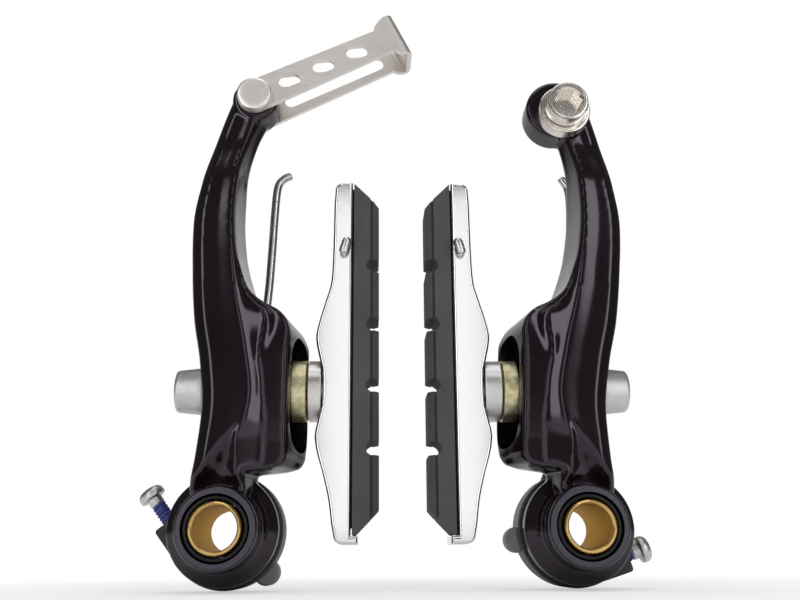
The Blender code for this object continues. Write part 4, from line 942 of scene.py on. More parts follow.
def arm_section(up):
    """The arm's cross-section at a height, as (out, y) points round it."""
    outer = arm_outer_edge(up)
    inner = arm_inner_edge(up)
    ridge = max(arm_ridge(up), inner + 0.0012)
    front = arm_front(up)
    back = arm_back(up)
    in_housing = follow([(HOUSING_HIGH - 0.0045, 1.0), (HOUSING_HIGH + 0.0050, 0.0)], up)
    in_scoop = follow([
        (HOUSING_HIGH - 0.0090, 0.0),
        (HOUSING_HIGH + 0.0040, 1.0),
        (up_the_arm(0.32), 0.0),
    ], up)
    draft = min(HOUSING_DRAFT * in_housing + 0.0011 * (1 - in_housing), 0.6 * (ridge - inner))
    edge = inner + draft
    wide = follow([(HOUSING_LOW + 0.0045, 1.0), (POST_HEIGHT - 0.0020, 0.0)], up)
    face = (HOUSING_FACE - 0.0007 * (1 - wide)) * in_housing + (front + 0.0010) * (1 - in_housing)
    step = 0.0013 + 0.0035 * wide
    reach = max(ridge - edge, 0.0004)
    step = min(step, reach * 0.50)
    valley = face + 0.0013 * in_scoop
    share = max(step / reach + 0.14, 0.34 + 0.34 * in_scoop)
    fall = min(0.0009, reach * 0.10) * (1 - in_scoop) + 0.92 * (reach * share - step) * in_scoop
    points = [
        (outer - 0.0016, back),
        (outer - 0.0005, back - 0.0005),
        (outer, back - 0.0016),
        (outer, (back + front) / 2),
        (outer, front + 0.0030),
        (outer - 0.0004, front + 0.0016),
        (outer - 0.0013, front + 0.0008),
        *[(ridge + (outer - 0.0013 - ridge) * k / 7, front + 0.0003 * min(k / 3, 1.0))
          for k in (6, 5, 4, 3, 2, 1)],
        (ridge, front),
        (ridge - step, front + min(step * 0.45, valley - front - 0.0001)),
        (ridge - step - fall, valley),
        (ridge - reach * share, valley),
        (ridge - reach * (share + 0.16), face + 0.0004 * in_scoop),
        (edge, face),
        (edge - draft * 0.12, face + 0.0010),
        (inner + draft * 0.45, face + (back - face) * 0.50),
        (inner + draft * 0.06, back - 0.0024),
        (inner + 0.0005, back - 0.0006),
        (inner + 0.0017, back),
    ]
    return [(out, y + neck_setback(out, y, up, back, ridge)) for out, y in points]


def hub_profile():
    """Outer profile of the arm's hub from its back to its front, as (radius, y)."""
    edge = 0.0006
    return [
        (FLANGE_RADIUS - edge, HUB_BACK),
        (FLANGE_RADIUS, HUB_BACK - edge),
        (FLANGE_RADIUS, FLANGE_FRONT + edge),
        (FLANGE_RADIUS - edge * 0.4, FLANGE_FRONT + edge * 0.2),
        (FLANGE_RADIUS - edge * 1.2, FLANGE_FRONT - edge * 0.2),
        (COLLAR_RADIUS + 0.0011, FLANGE_FRONT - 0.0010),
        (COLLAR_RADIUS + 0.0003, FLANGE_FRONT - 0.0021),
        (COLLAR_RADIUS, FLANGE_FRONT - 0.0036),
        (COLLAR_RADIUS, HUB_FACE + edge),
        (COLLAR_RADIUS - edge * 0.35, HUB_FACE + edge * 0.35),
        (COLLAR_RADIUS - edge, HUB_FACE),
    ]


def arm_casting(side, grain, passes):
    """The whole arm: spine, housing, hub and head melted together, then bored and slotted."""
    count = 150
    low, high = COLLAR_RADIUS - 0.0014, ARM_LENGTH + 0.0036
    heights = [low + (high - low) * i / (count - 1) for i in range(count)]
    arm = solid("arm", loft([[(out, y, up) for out, y in arm_section(up)] for up in heights]))
    if side == "left":
        head_at, head_radius = (LINK_PIN_OUT, LINK_PIN_UP), LINK_HALF_WIDTH + HEAD_WALL
        hole_at, hole = head_at, RIVET_RADIUS + GAP
    else:
        head_at, head_radius = (EYE_OUT, EYE_UP), EYE_RADIUS
        hole_at, hole = (ANCHOR_OUT, ANCHOR_UP), ANCHOR_BOLT_RADIUS + GAP
    edge = 0.0005
    head = rod([(head_radius - edge, HEAD_BACK), (head_radius, HEAD_BACK - edge),
                (head_radius, HEAD_FRONT + edge), (head_radius - edge, HEAD_FRONT)], 64)
    worked(arm,
           ("UNION", rod(hub_profile(), 96)),
           ("UNION", shift(head, (head_at[0], 0, head_at[1]))))
    skin = arm.modifiers.new("skin", "REMESH")
    skin.mode, skin.voxel_size = "VOXEL", grain
    soften = arm.modifiers.new("soften", "SMOOTH")
    soften.factor, soften.iterations = 0.5, passes
    settled(arm)
    cuts = [
        ("DIFFERENCE", drill(HUB_BORE, 0.0, -0.026, 96)),
        ("DIFFERENCE", shift(drill(hole, 0.0, -0.024, 48), (hole_at[0], 0, hole_at[1]))),
    ]
    reach = 0.012
    for half_width, near, far in (
        (POST_RADIUS + GAP, WASHER_FLOOR - reach, OUTER_FLOOR + reach),
        (WASHER_RADIUS + GAP, WASHER_FLOOR - reach, WASHER_FLOOR + POCKET_RELIEF),
        (OUTER_WASHER_RADIUS + GAP, OUTER_FLOOR - POCKET_RELIEF, OUTER_FLOOR + reach),
    ):
        outline = obround((POST_Y, POST_HEIGHT), half_width, SLOT_TRAVEL_DOWN, SLOT_TRAVEL_UP)
        cuts.append(("DIFFERENCE", prism(outline, near, far, "X")))
    peg_hole = drill(PEG_RADIUS + GAP, ARM_BACK + PEG_DEPTH, arm_back(PEG_UP) - PEG_DEPTH, 32)
    cuts.append(("DIFFERENCE", shift(peg_hole, (PEG_OUT, 0, PEG_UP))))
    worked(arm, *cuts)
    return arm


# Geometry Nodes trees


def tree_with(name, sockets):
    """An empty Geometry Nodes tree with a geometry in and out, and its named inputs."""
    tree = bpy.data.node_groups.new(name, "GeometryNodeTree")
    tree.interface.new_socket("Geometry", in_out="INPUT", socket_type="NodeSocketGeometry")
    for label, kind in sockets:
        tree.interface.new_socket(label, in_out="INPUT", socket_type=f"NodeSocket{kind}")
    tree.interface.new_socket("Geometry", in_out="OUTPUT", socket_type="NodeSocketGeometry")
    return tree


def tree_node(tree, kind, settings=None, inputs=None):
    """A node in a Geometry Nodes tree, with its settings first and then its sockets."""
    made = tree.nodes.new(kind)
    for key, value in (settings or {}).items():
        setattr(made, key, value)
    for key, value in (inputs or {}).items():
        if isinstance(value, bpy.types.NodeSocket):
            tree.links.new(value, made.inputs[key])
        else:
            made.inputs[key].default_value = value
    return made


def finished_tree(tree, start, geometry):
    """End a tree: the given geometry is joined to the piece, made real and given its finish."""
    join = tree_node(tree, "GeometryNodeJoinGeometry")
    tree.links.new(start.outputs["Geometry"], join.inputs[0])
    tree.links.new(geometry, join.inputs[0])
    real = tree_node(tree, "GeometryNodeRealizeInstances", None, {0: join.outputs[0]})
    skin = tree_node(tree, "GeometryNodeSetMaterial", None,
                     {"Geometry": real.outputs[0], "Material": start.outputs["Finish"]})
    end = tree_node(tree, "NodeGroupOutput")
    tree.links.new(skin.outputs[0], end.inputs["Geometry"])
    return tree


def tooth_ring_tree():
    """Small upright ridges set evenly round the front edge of a tube."""
    tree = tree_with("tooth_ring", [
        ("Teeth", "Int"), ("Ring Radius", "Float"), ("Place", "Float"), ("Tooth Size", "Vector"),
        ("Finish", "Material")])
    start = tree_node(tree, "NodeGroupInput")
    ring = tree_node(tree, "GeometryNodeMeshCircle", {"fill_type": "NONE"},
                     {"Vertices": start.outputs["Teeth"], "Radius": start.outputs["Ring Radius"]})
    tooth = tree_node(tree, "GeometryNodeMeshCube", None, {"Size": start.outputs["Tooth Size"]})
    ridge = tree_node(tree, "GeometryNodeTransform", None,
                      {"Geometry": tooth.outputs["Mesh"], "Rotation": (0, 0, math.pi / 4)})
    here = tree_node(tree, "GeometryNodeInputPosition")
    facing = tree_node(tree, "FunctionNodeAlignRotationToVector", {"axis": "X"},
                       {"Vector": here.outputs[0]})
    spread = tree_node(tree, "GeometryNodeInstanceOnPoints", None,
                       {"Points": ring.outputs["Mesh"], "Instance": ridge.outputs["Geometry"],
                        "Rotation": facing.outputs["Rotation"]})
    place = tree_node(tree, "ShaderNodeCombineXYZ", None, {"Y": start.outputs["Place"]})
    turned_round = tree_node(tree, "GeometryNodeTransform", None,
                             {"Geometry": spread.outputs["Instances"],
                              "Translation": place.outputs[0], "Rotation": (math.pi / 2, 0, 0)})
    return finished_tree(tree, start, turned_round.outputs["Geometry"])


def thread_tree():
    """A helical ridge wound along X round a plain shank."""
    tree = tree_with("thread", [
        ("Turns", "Float"), ("Shank Radius", "Float"), ("Thread Length", "Float"),
        ("Ridge", "Float"), ("Start", "Float"), ("Finish", "Material")])
    start = tree_node(tree, "NodeGroupInput")
    winding = tree_node(tree, "GeometryNodeCurveSpiral", None,
                        {"Resolution": 28, "Rotations": start.outputs["Turns"],
                         "Start Radius": start.outputs["Shank Radius"],
                         "End Radius": start.outputs["Shank Radius"],
                         "Height": start.outputs["Thread Length"]})
    profile = tree_node(tree, "GeometryNodeCurvePrimitiveCircle", {"mode": "RADIUS"},
                        {"Resolution": 4, "Radius": start.outputs["Ridge"]})
    ridge = tree_node(tree, "GeometryNodeCurveToMesh", None,
                      {"Curve": winding.outputs[0], "Profile Curve": profile.outputs[0],
                       "Fill Caps": True})
    place = tree_node(tree, "ShaderNodeCombineXYZ", None, {"X": start.outputs["Start"]})
    laid = tree_node(tree, "GeometryNodeTransform", None,
                     {"Geometry": ridge.outputs["Mesh"], "Translation": place.outputs[0],
                      "Rotation": (0, math.pi / 2, 0)})
    return finished_tree(tree, start, laid.outputs["Geometry"])


def grown(made, tree, **inputs):
    """Work a Geometry Nodes tree into a piece, with its named inputs."""
    modifier = made.modifiers.new("nodes", "NODES")
    modifier.node_group = tree
    ids = {item.name: item.identifier for item in tree.interface.items_tree
           if item.item_type == "SOCKET" and item.in_out == "INPUT"}
    for key, value in inputs.items():
        modifier[ids[key.replace("_", " ")]] = value
    return settled(made)


# Pivot pieces


def arm_bush():
    """The plastic liner that shows as a thin dark ring in the arm's hub."""
    front, back = HUB_FACE + 0.0004, HUB_BACK - GAP
    return solid("bush", turned([
        (BUSH_BORE, back), (BUSH_RADIUS, back), (BUSH_RADIUS, front + 0.0003),
        (BUSH_RADIUS - 0.0001, front + 0.0001), (BUSH_RADIUS - 0.0003, front),
        (BUSH_BORE + 0.0001, front), (BUSH_BORE, front + 0.0001),
    ], 96))


def pivot_sleeve(tree, teeth, finish):
    """The gold-plated sleeve with its bright chamfered rim and serrated front edge."""
    bore, wall = SLEEVE_BORE / 2, SLEEVE_RADIUS
    length = SLEEVE_LENGTH
    body = solid("sleeve", turned([
        (bore + 0.0002, 0.0), (wall - 0.0002, 0.0), (wall, -0.0002), (wall, -length + 0.0015),
        (wall - 0.00022, -length + 0.0013), (wall - 0.00022, -length + 0.00015),
        (wall - 0.0004, -length), (bore + 0.00022, -length), (bore, -length + 0.00025),
        (bore, -0.0002),
    ], 128))
    return grown(body, tree, Teeth=teeth, Ring_Radius=wall - 0.00024, Place=-length + 0.00077,
                 Tooth_Size=(0.0003, 0.0003, 0.0011), Finish=finish)


def screw_line(distance, beside=0.0):
    """A point on the tension screw's axis, at a distance from its nearest point to the pivot."""
    heading = Vector((math.cos(SCREW_HEADING), math.sin(SCREW_HEADING)))
    below = Vector((heading.y, -heading.x))
    return below * (SCREW_OFFSET + beside) + heading * distance


def screw_pose(bm, distance):
    """Lay a piece that was turned about X on the tension screw's axis."""
    turn(bm, -SCREW_HEADING, "Y")
    at = screw_line(distance)
    return shift(bm, (at.x, SCREW_Y, at.y))


def case_pose(side):
    """Matrix from the case's own frame to the pivot's, turned to its rest angle."""
    turned_case = Matrix.Rotation(-CASE_TURN[side], 4, "Y")
    return Matrix.Scale(SIDES[side], 4, (1, 0, 0)) @ turned_case


def lug_place():
    """Centre of the case's stop lug, in the case's own frame."""
    return Vector((LUG_OFFSET * math.cos(LUG_ANGLE), 0, LUG_OFFSET * math.sin(LUG_ANGLE)))


def spring_case(side):
    """The plastic cup round the spring, with its screw tab, lug and leg slot."""
    inside = CASE_RADIUS - CASE_RIM
    wall_front = CASE_BACK - CASE_WALL
    case = solid("case", rod([
        (CASE_RADIUS - 0.0006, CASE_BACK), (CASE_RADIUS - 0.0002, CASE_BACK - 0.0002),
        (CASE_RADIUS, CASE_BACK - 0.0006), (CASE_RADIUS, CASE_FRONT + 0.0004),
        (CASE_RADIUS - 0.0001, CASE_FRONT + 0.0001), (CASE_RADIUS - 0.0004, CASE_FRONT),
    ], 96))
    meets_rim = math.sqrt((inside + CASE_RIM / 2) ** 2 - (SCREW_OFFSET + TAB_BELOW / 2) ** 2)
    tab_outline = rounded([
        tuple(screw_line(TAB_FACE, -TAB_ABOVE)),
        tuple(screw_line(TAB_FACE, TAB_BELOW)),
        tuple(screw_line(meets_rim * 0.4, TAB_BELOW)),
        tuple(screw_line(0.0, TAB_BELOW / 2)),
        tuple(screw_line(meets_rim, -TAB_ABOVE / 2)),
    ], TAB_CORNER, 4)
    tab = solid("tab", prism(tab_outline, CASE_BACK - 0.0006, CASE_FRONT + 0.0002))
    bevelled(tab, 0.0004, 3)
    lug = shift(rod([
        (LUG_RADIUS - 0.0004, CASE_BACK - 0.0008), (LUG_RADIUS, CASE_BACK - 0.0012),
        (LUG_RADIUS, CASE_FRONT + 0.0024), (LUG_RADIUS - 0.0002, CASE_FRONT + 0.0020),
        (LUG_RADIUS - 0.0005, CASE_FRONT + 0.0018), (LUG_RADIUS - 0.0011, CASE_FRONT + 0.00185),
    ], 40), lug_place())
    tab_bm = bmesh.new()
    tab_bm.from_mesh(tab.data)
    bpy.data.objects.remove(tab, do_unlink=True)
    start = Vector(leg_start(side))
    ahead = (Vector(LEG_SHAPE[side][0]) - start).normalized()
    beside = Vector((ahead.y, -ahead.x)) * (WIRE / 2 + LEG_SLOT_ROOM)
    near, far = start + ahead * LEG_SLOT_START, start + ahead * (CASE_RADIUS + LEG_SLOT_ROOM)
    corners = [tuple(at) for at in (near - beside, near + beside, far + beside, far - beside)]
    slot = prism(corners, SPRING_REAR - WIRE / 2 - LEG_SLOT_ROOM, CASE_BACK + PAST)
    turn(slot, CASE_TURN[side], "Y")
    past_rim = CASE_FRONT - 2 * PAST
    coil_room = turned([(CASE_TUBE_RADIUS, wall_front), (inside, wall_front),
                        (inside, past_rim), (CASE_TUBE_RADIUS, past_rim)], 96)
    screw_hole = screw_pose(drill(SCREW_RADIUS + GAP, 0.0, 0.012, 32, "X"), 0.0)
    pin_hole = drill(CASE_PIN_RADIUS + GAP, CASE_BACK + 2 * PAST, wall_front - PAST, 32)
    worked(case,
           ("UNION", tab_bm),
           ("UNION", lug),
           ("DIFFERENCE", coil_room),
           ("DIFFERENCE", drill(SLEEVE_RADIUS + GAP, 2 * PAST, past_rim, 96)),
           ("DIFFERENCE", screw_hole),
           ("DIFFERENCE", slot),
           ("DIFFERENCE", shift(pin_hole, (0, 0, -CASE_PIN_OFFSET))))
    return bevelled(case, 0.00015, 2, 40)


def case_pin():
    """The steel pin that stops the case turning on the frame."""
    edge = 0.0004
    inner = CASE_BACK - CASE_WALL
    radius, reach = CASE_PIN_RADIUS, CASE_PIN_REACH
    return solid("pin", shift(rod([
        (radius - edge, inner), (radius, inner + edge), (radius, reach - edge),
        (radius - 0.0001, reach - edge * 0.4), (radius - edge, reach),
    ], 40), (0, 0, -CASE_PIN_OFFSET)))


def tension_screw(tree, pitch, finish):
    """The pan-head screw, with its rolled thread and cross recess, laid along X from its tip."""
    head = SCREW_LENGTH + SCREW_HEAD_HEIGHT
    radius = SCREW_HEAD_RADIUS - SCREW_HEAD_TRIM
    shank = SCREW_RADIUS - 0.00005
    core = SCREW_RADIUS - 0.00022
    screw = solid("screw", rod([
        (core - 0.0003, 0.0), (core, 0.0003), (core, SCREW_LENGTH - 0.0016),
        (shank, SCREW_LENGTH - 0.0014), (shank, SCREW_LENGTH - 0.0001),
        (SCREW_RADIUS + 0.0002, SCREW_LENGTH), (radius - 0.0003, SCREW_LENGTH),
        (radius - 0.00005, SCREW_LENGTH + 0.0001), (radius, SCREW_LENGTH + 0.0004),
        (radius - 0.00005, head - 0.0010), (radius - 0.0003, head - 0.0005),
        (radius - 0.0007, head - 0.0002), (radius - 0.0013, head - 0.00003), (radius - 0.0019, head),
    ], 64, "X"))
    long_half, short_half = SCREW_CROSS / 2, SCREW_CROSS_WIDTH / 2
    plus = []
    for k in range(4):
        quarter = Matrix.Rotation(-k * math.pi / 2, 2)
        for corner in ((short_half, short_half), (long_half, short_half), (long_half, -short_half)):
            plus.append(tuple(quarter @ Vector(corner)))
    worked(screw, ("DIFFERENCE", loft([
        [(place, a * grow, b * grow) for a, b in plus]
        for place, grow in ((head - 0.0012, 0.55), (head - 0.0003, 0.95), (head + 0.001, 1.15))])))
    bevelled(screw, 0.00006, 2, 40)
    length = SCREW_LENGTH - 0.0018
    grown(screw, tree, Turns=length / pitch, Shank_Radius=SCREW_RADIUS - 0.00020,
          Thread_Length=length, Ridge=0.00017, Start=0.0002, Finish=finish)
    along = screw.data.attributes.new("along", "FLOAT", "POINT")
    along.data.foreach_set("value", [vertex.co.x for vertex in screw.data.vertices])
    return screw


def screw_matrix(side):
    """Matrix that lays the tension screw in its case."""
    at = screw_line(SCREW_TIP[side])
    laid = Matrix.Translation((at.x, SCREW_Y, at.y)) @ Matrix.Rotation(-SCREW_HEADING, 4, "Y")
    return case_pose(side) @ laid


# Return spring


def leg_angle(side):
    """Angle round the coil where the leg leaves it, tangent towards its first point."""
    first = Vector(LEG_SHAPE[side][0])
    return math.atan2(first.y, first.x) + math.acos(COIL_RADIUS / first.length)


def leg_start(side):
    """Point where the leg leaves the coil."""
    angle = leg_angle(side)
    return (COIL_RADIUS * math.cos(angle), COIL_RADIUS * math.sin(angle))


def smooth_route(points, steps):
    """Points on a smooth curve through the given ones."""
    route = []
    last = len(points) - 1
    for i in range(last):
        before, after = points[max(i - 1, 0)], points[min(i + 2, last)]
        here, there = points[i], points[i + 1]
        for k in range(steps):
            t = k / steps
            route.append(0.5 * (2 * here + (there - before) * t
                                + (2 * before - 5 * here + 4 * there - after) * t**2
                                + (3 * here - before - 3 * there + after) * t**3))
    route.append(points[last])
    return route


def spring_route(side):
    """The spring's centre line: its tail, its coil round the pivot and its leg."""
    tail = SPRING_TAIL_ANGLE + CASE_TURN[side] + 4 * math.pi
    leg = leg_angle(side)
    turns = 120
    coil = []
    for i in range(turns + 1):
        angle = tail + (leg - tail) * i / turns
        y = follow([(375, SPRING_REAR), (520, SPRING_FRONT)], math.degrees(angle))
        coil.append(Vector((COIL_RADIUS * math.cos(angle), y, COIL_RADIUS * math.sin(angle))))
    lift = [(CASE_RADIUS - 0.0045, SPRING_REAR), (CASE_RADIUS + 0.0055, LEG_PLANE)]
    straight = []
    start, first = Vector(leg_start(side)), Vector(LEG_SHAPE[side][0])
    for share in (0.25, 0.4, 0.55, 0.7, 0.85):
        at = start.lerp(first, share)
        straight.append(Vector((at.x, follow(lift, at.y), at.y)))
    free = [coil[-1]] + straight + [Vector((out, LEG_PLANE, up)) for out, up in LEG_SHAPE[side]]
    return coil[:-1] + smooth_route(free, 8)


def return_spring(side):
    """Round spring wire swept along its route, with rounded ends."""
    route = spring_route(side)
    segments = 20
    rings = []
    ahead = (route[1] - route[0]).normalized()
    side_way = ahead.orthogonal().normalized()
    count = len(route)
    for i, at in enumerate(route):
        ahead = (route[min(i + 1, count - 1)] - route[max(i - 1, 0)]).normalized()
        side_way = (side_way - ahead * side_way.dot(ahead)).normalized()
        other = ahead.cross(side_way)
        wire = WIRE / 2 * (0.8 if i in (0, count - 1) else 1.0)
        rings.append([tuple(at + side_way * (wire * math.cos(2 * math.pi * k / segments))
                            + other * (wire * math.sin(2 * math.pi * k / segments)))
                      for k in range(segments)])
    return solid("spring", loft(rings))


def spring_peg():
    """The mushroom peg on the arm's back that the spring's leg hooks behind."""
    foot = arm_back(PEG_UP) - PEG_DEPTH + GAP
    tip = LEG_PLANE + WIRE / 2 + 0.0014
    head = 0.0009
    return solid("peg", shift(rod([
        (PEG_RADIUS - 0.0003, foot), (PEG_RADIUS, foot + 0.0003), (PEG_RADIUS, tip - head),
        (PEG_RADIUS + head * 0.7, tip - head * 0.75), (PEG_RADIUS + head * 0.8, tip - head * 0.5),
        (PEG_RADIUS + head * 0.6, tip - head * 0.2), (PEG_RADIUS, tip - 0.00004), (0.0006, tip),
    ], 40), (PEG_OUT, 0, PEG_UP)))


# Pad clamp, in the post's frame with X as `out`


def nut_start(side):
    """Place along `out` of the nut's inner end."""
    return OUTER_FLOOR + GAP + OUTER_DOME_RIM + GAP + OUTER_CUP_THICKNESS[side] + GAP


def post_end(side):
    """Place along `out` of the post's outer end, inside the nut."""
    return nut_start(side) + NUT_LENGTH - NUT_SOCKET_DEPTH - NUT_WEB - GAP


def washer_profiles(radius, bore, rim, crown, cup):
    """Profiles of a ball washer and its cup, laid from the arm outwards, as (radius, place)."""
    steps = 8
    curve = []
    for i in range(steps + 1):
        r = radius + (bore - radius) * i / steps
        share = (radius**2 - r**2) / (radius**2 - bore**2)
        curve.append((r, rim + crown * share))
    edge = 0.00025
    soft = 0.00012
    dome = [(bore, 0.0), (radius - edge, 0.0), (radius - edge * 0.3, edge * 0.3), (radius, edge),
            (radius, rim - soft)] + curve[1:]
    flat = rim + GAP + cup
    cup_ring = [(bore, flat), (radius - edge, flat), (radius - edge * 0.3, flat - edge * 0.3),
                (radius, flat - edge), (radius, rim + GAP + soft)]
    return dome, cup_ring + [(r, place + GAP) for r, place in curve[1:]]


def washer(side, kind):
    """One of the four washers that let the pad be set at an angle."""
    bore = POST_RADIUS + GAP
    if kind.startswith("inner"):
        pair = washer_profiles(WASHER_RADIUS, bore, DOME_RIM, DOME_CROWN, CUP_THICKNESS[side])
        start, way = WASHER_FLOOR - GAP, -1
    else:
        pair = washer_profiles(OUTER_WASHER_RADIUS, bore, OUTER_DOME_RIM, OUTER_DOME_CROWN,
                               OUTER_CUP_THICKNESS[side])
        start, way = OUTER_FLOOR + GAP, 1
    profile = pair[0] if "dome" in kind else pair[1]
    return solid("washer", turned([(r, start + way * place) for r, place in profile], 96, "X"))


def pad_nut(side):
    """The barrel nut with its hexagon socket."""
    start = nut_start(side)
    end = start + NUT_LENGTH
    soft = 0.0007
    nut = solid("nut", rod([
        (NUT_RADIUS - 0.0002, start), (NUT_RADIUS, start + 0.0002),
        (NUT_RADIUS - 0.0001, start + 0.0012), (NUT_END_RADIUS, end - soft),
        (NUT_END_RADIUS - 0.1 * soft, end - 0.5 * soft),
        (NUT_END_RADIUS - 0.35 * soft, end - 0.2 * soft), (NUT_END_RADIUS - soft, end),
    ], 96, "X"))
    socket = prism(hexagon(NUT_SOCKET), end - NUT_SOCKET_DEPTH, end + PAST, "X")
    lead_in = rod([(NUT_SOCKET / 2 - 0.0002, end - 0.0004), (NUT_SOCKET / 2 + 0.0006, end + 0.0004)],
                  64, "X")
    thread = drill(POST_RADIUS + GAP, start - PAST, post_end(side) + GAP, 64, "X")
    worked(nut, ("DIFFERENCE", socket), ("DIFFERENCE", lead_in), ("DIFFERENCE", thread))
    return bevelled(nut, 0.00008, 2, 40)


def shoe_seat(side):
    """Place along `out` of the shoe's seat against its cup washer."""
    return WASHER_FLOOR - GAP - DOME_RIM - GAP - CUP_THICKNESS[side] - GAP


def shoe_face(side):
    """Place along `out` of the braking face."""
    return shoe_seat(side) - SHOE_SEAT_THICKNESS


def pad_post(side, tree, finish):
    """The threaded post that carries the shoe."""
    foot = shoe_seat(side) - POST_SEAT_DEPTH
    core = POST_RADIUS - 0.0004
    post = solid("post", rod([
        (POST_RADIUS - 0.0004, foot), (POST_RADIUS, foot + 0.0004), (POST_RADIUS, foot + 0.0038),
        (core, foot + 0.0042), (core, post_end(side) - 0.0003), (core - 0.0004, post_end(side)),
    ], 64, "X"))
    start = foot + 0.0044
    length = post_end(side) - 0.0004 - start
    return grown(post, tree, Turns=length / THREAD_PITCH, Shank_Radius=core, Thread_Length=length,
                 Ridge=0.0004, Start=start, Finish=finish)


def shoe_outline():
    """The holder's outline from the front, as (distance from braking face, up)."""
    rubber = RUBBER_THICKNESS
    end = SHOE_END_THICKNESS
    seat = SHOE_SEAT_THICKNESS
    bulge = SHOE_BULGE_THICKNESS
    top, bottom = SHOE_ABOVE, -SHOE_BELOW
    round_end = 0.0016
    side = [Vector(p) for p in [
        (end, top - 0.0050), (end + 0.0001, 0.0290), (end + 0.0004, 0.0218),
        (end + 0.0014, 0.0178), (bulge - 0.0008, 0.0140), (bulge - 0.0001, 0.0108),
        (bulge - 0.0002, 0.0086), (seat + 0.0007, 0.0058), (seat + 0.0001, 0.0028),
        (seat + 0.0001, -0.0028), (seat + 0.0007, -0.0058), (bulge - 0.0002, -0.0086),
        (bulge - 0.0002, -0.0105), (bulge - 0.0007, -0.0130), (end + 0.0015, -0.0168),
        (end + 0.0004, -0.0215), (end - 0.0002, bottom + 0.0036),
    ]]
    outline = [(rubber, top)]
    outline += arc((end - 0.0002 - round_end, top - round_end), round_end, math.pi / 2, 0.0, 10)
    outline += [tuple(p) for p in smooth_route(side, 5)]
    outline += arc((end - 0.0006 - round_end, bottom + round_end), round_end, 0.0, -math.pi / 2, 10)
    lip = rubber - HOLDER_LIP
    outline += [(lip, bottom), (lip, bottom + HOLDER_LIP), (rubber, bottom + HOLDER_LIP)]
    return outline


def channel_outline(back, gap):
    """Dovetail that holds the rubber in its holder, as (out, y) points."""
    mouth, floor = CHANNEL_MOUTH / 2 - gap, CHANNEL_FLOOR / 2 - gap
    over = 0.0010 if gap else 0.002
    flank = (floor - mouth) / CHANNEL_DEPTH
    deep = back + CHANNEL_DEPTH - (gap if gap else 0.0)
    return [(back - over, -mouth + flank * over), (deep, -floor), (deep, floor),
            (back - over, mouth - flank * over)]


def pin_place(side):
    """Where the retaining pin crosses the shoe."""
    return (shoe_face(side) + RUBBER_THICKNESS + CHANNEL_DEPTH - 0.0012, 0.0, PIN_HEIGHT)


def pad_holder(side):
    """The polished shoe with its rounded edges, rubber channel and pin hole."""
    face, half = shoe_face(side), SHOE_DEPTH / 2
    holder = solid("holder", rounded_plate([(face + a, b) for a, b in shoe_outline()],
                                           -half, half, HOLDER_EDGE))
    level = face + SHOE_SEAT_THICKNESS
    seat = drill(WASHER_RADIUS + GAP, level, level + 4 * PAST, 96, "X")
    channel = prism(channel_outline(face + RUBBER_THICKNESS, 0.0),
                    -SHOE_BELOW + CHANNEL_END, SHOE_ABOVE + 2 * PAST, "Z")
    post_hole = drill(POST_RADIUS + GAP, shoe_seat(side) + PAST,
                      shoe_seat(side) - POST_SEAT_DEPTH - GAP, 48, "X")
    pin_hole = drill(PIN_RADIUS + GAP, -half - PAST, half + PAST, 32)
    worked(holder,
           ("DIFFERENCE", seat),
           ("DIFFERENCE", channel),
           ("DIFFERENCE", post_hole),
           ("DIFFERENCE", shift(pin_hole, pin_place(side))))
    return holder


def pad_insert(side):
    """The rubber block with its sloping ends, chamfered edges and water grooves."""
    face, half = shoe_face(side), SHOE_DEPTH / 2 - 0.0002
    back = face + RUBBER_THICKNESS - GAP
    low = -SHOE_BELOW + HOLDER_LIP + GAP
    top = SHOE_ABOVE - 0.0002
    insert = solid("insert", prism([
        (back, top), (face, top - RUBBER_TOP_CHAMFER), (face, low + RUBBER_BOTTOM_CHAMFER),
        (back - 0.0006, low), (back, low),
    ], -half, half))
    neck = prism(channel_outline(face + RUBBER_THICKNESS, GAP),
                 -SHOE_BELOW + CHANNEL_END + GAP, top - 0.0004, "Z")
    steps = [("UNION", neck)]
    chamfer, beyond = RUBBER_EDGE_CHAMFER, PAST
    for way in (-1, 1):
        steps.append(("DIFFERENCE", prism([
            (face - beyond, way * (half + beyond)), (face + chamfer + beyond, way * (half + beyond)),
            (face - beyond, way * (half - chamfer - beyond))], low - beyond, top + beyond, "Z")))
    for way in (-1, 1):
        steps.append(("DIFFERENCE", prism([
            (face + chamfer - 0.0001, way * (half + beyond)),
            (face + chamfer + 0.0005, way * (half + beyond)),
            (face + chamfer + 0.0004, way * (half - 0.0006)), (face + chamfer, way * (half - 0.0006))],
            low - beyond, top + beyond, "Z")))
    width = GROOVE_WIDTH / 2
    for k in range(GROOVE_COUNT):
        height = GROOVE_TOP - k * GROOVE_PITCH
        steps.append(("DIFFERENCE", prism(
            [(face - beyond, height + width + 0.0003), (face + 0.0003, height + width)]
            + [(face + GROOVE_DEPTH - width + a, height + b)
               for a, b in arc((0.0, 0.0), width, math.pi / 2, -math.pi / 2, 16)]
            + [(face + 0.0003, height - width), (face - beyond, height - width - 0.0003)],
            -half - beyond, half + beyond)))
    hole = drill(PIN_RADIUS + GAP, -0.007, 0.007, 32)
    steps.append(("DIFFERENCE", shift(hole, pin_place(side))))
    worked(insert, *steps)
    return bevelled(insert, 0.00018, 2, 30)


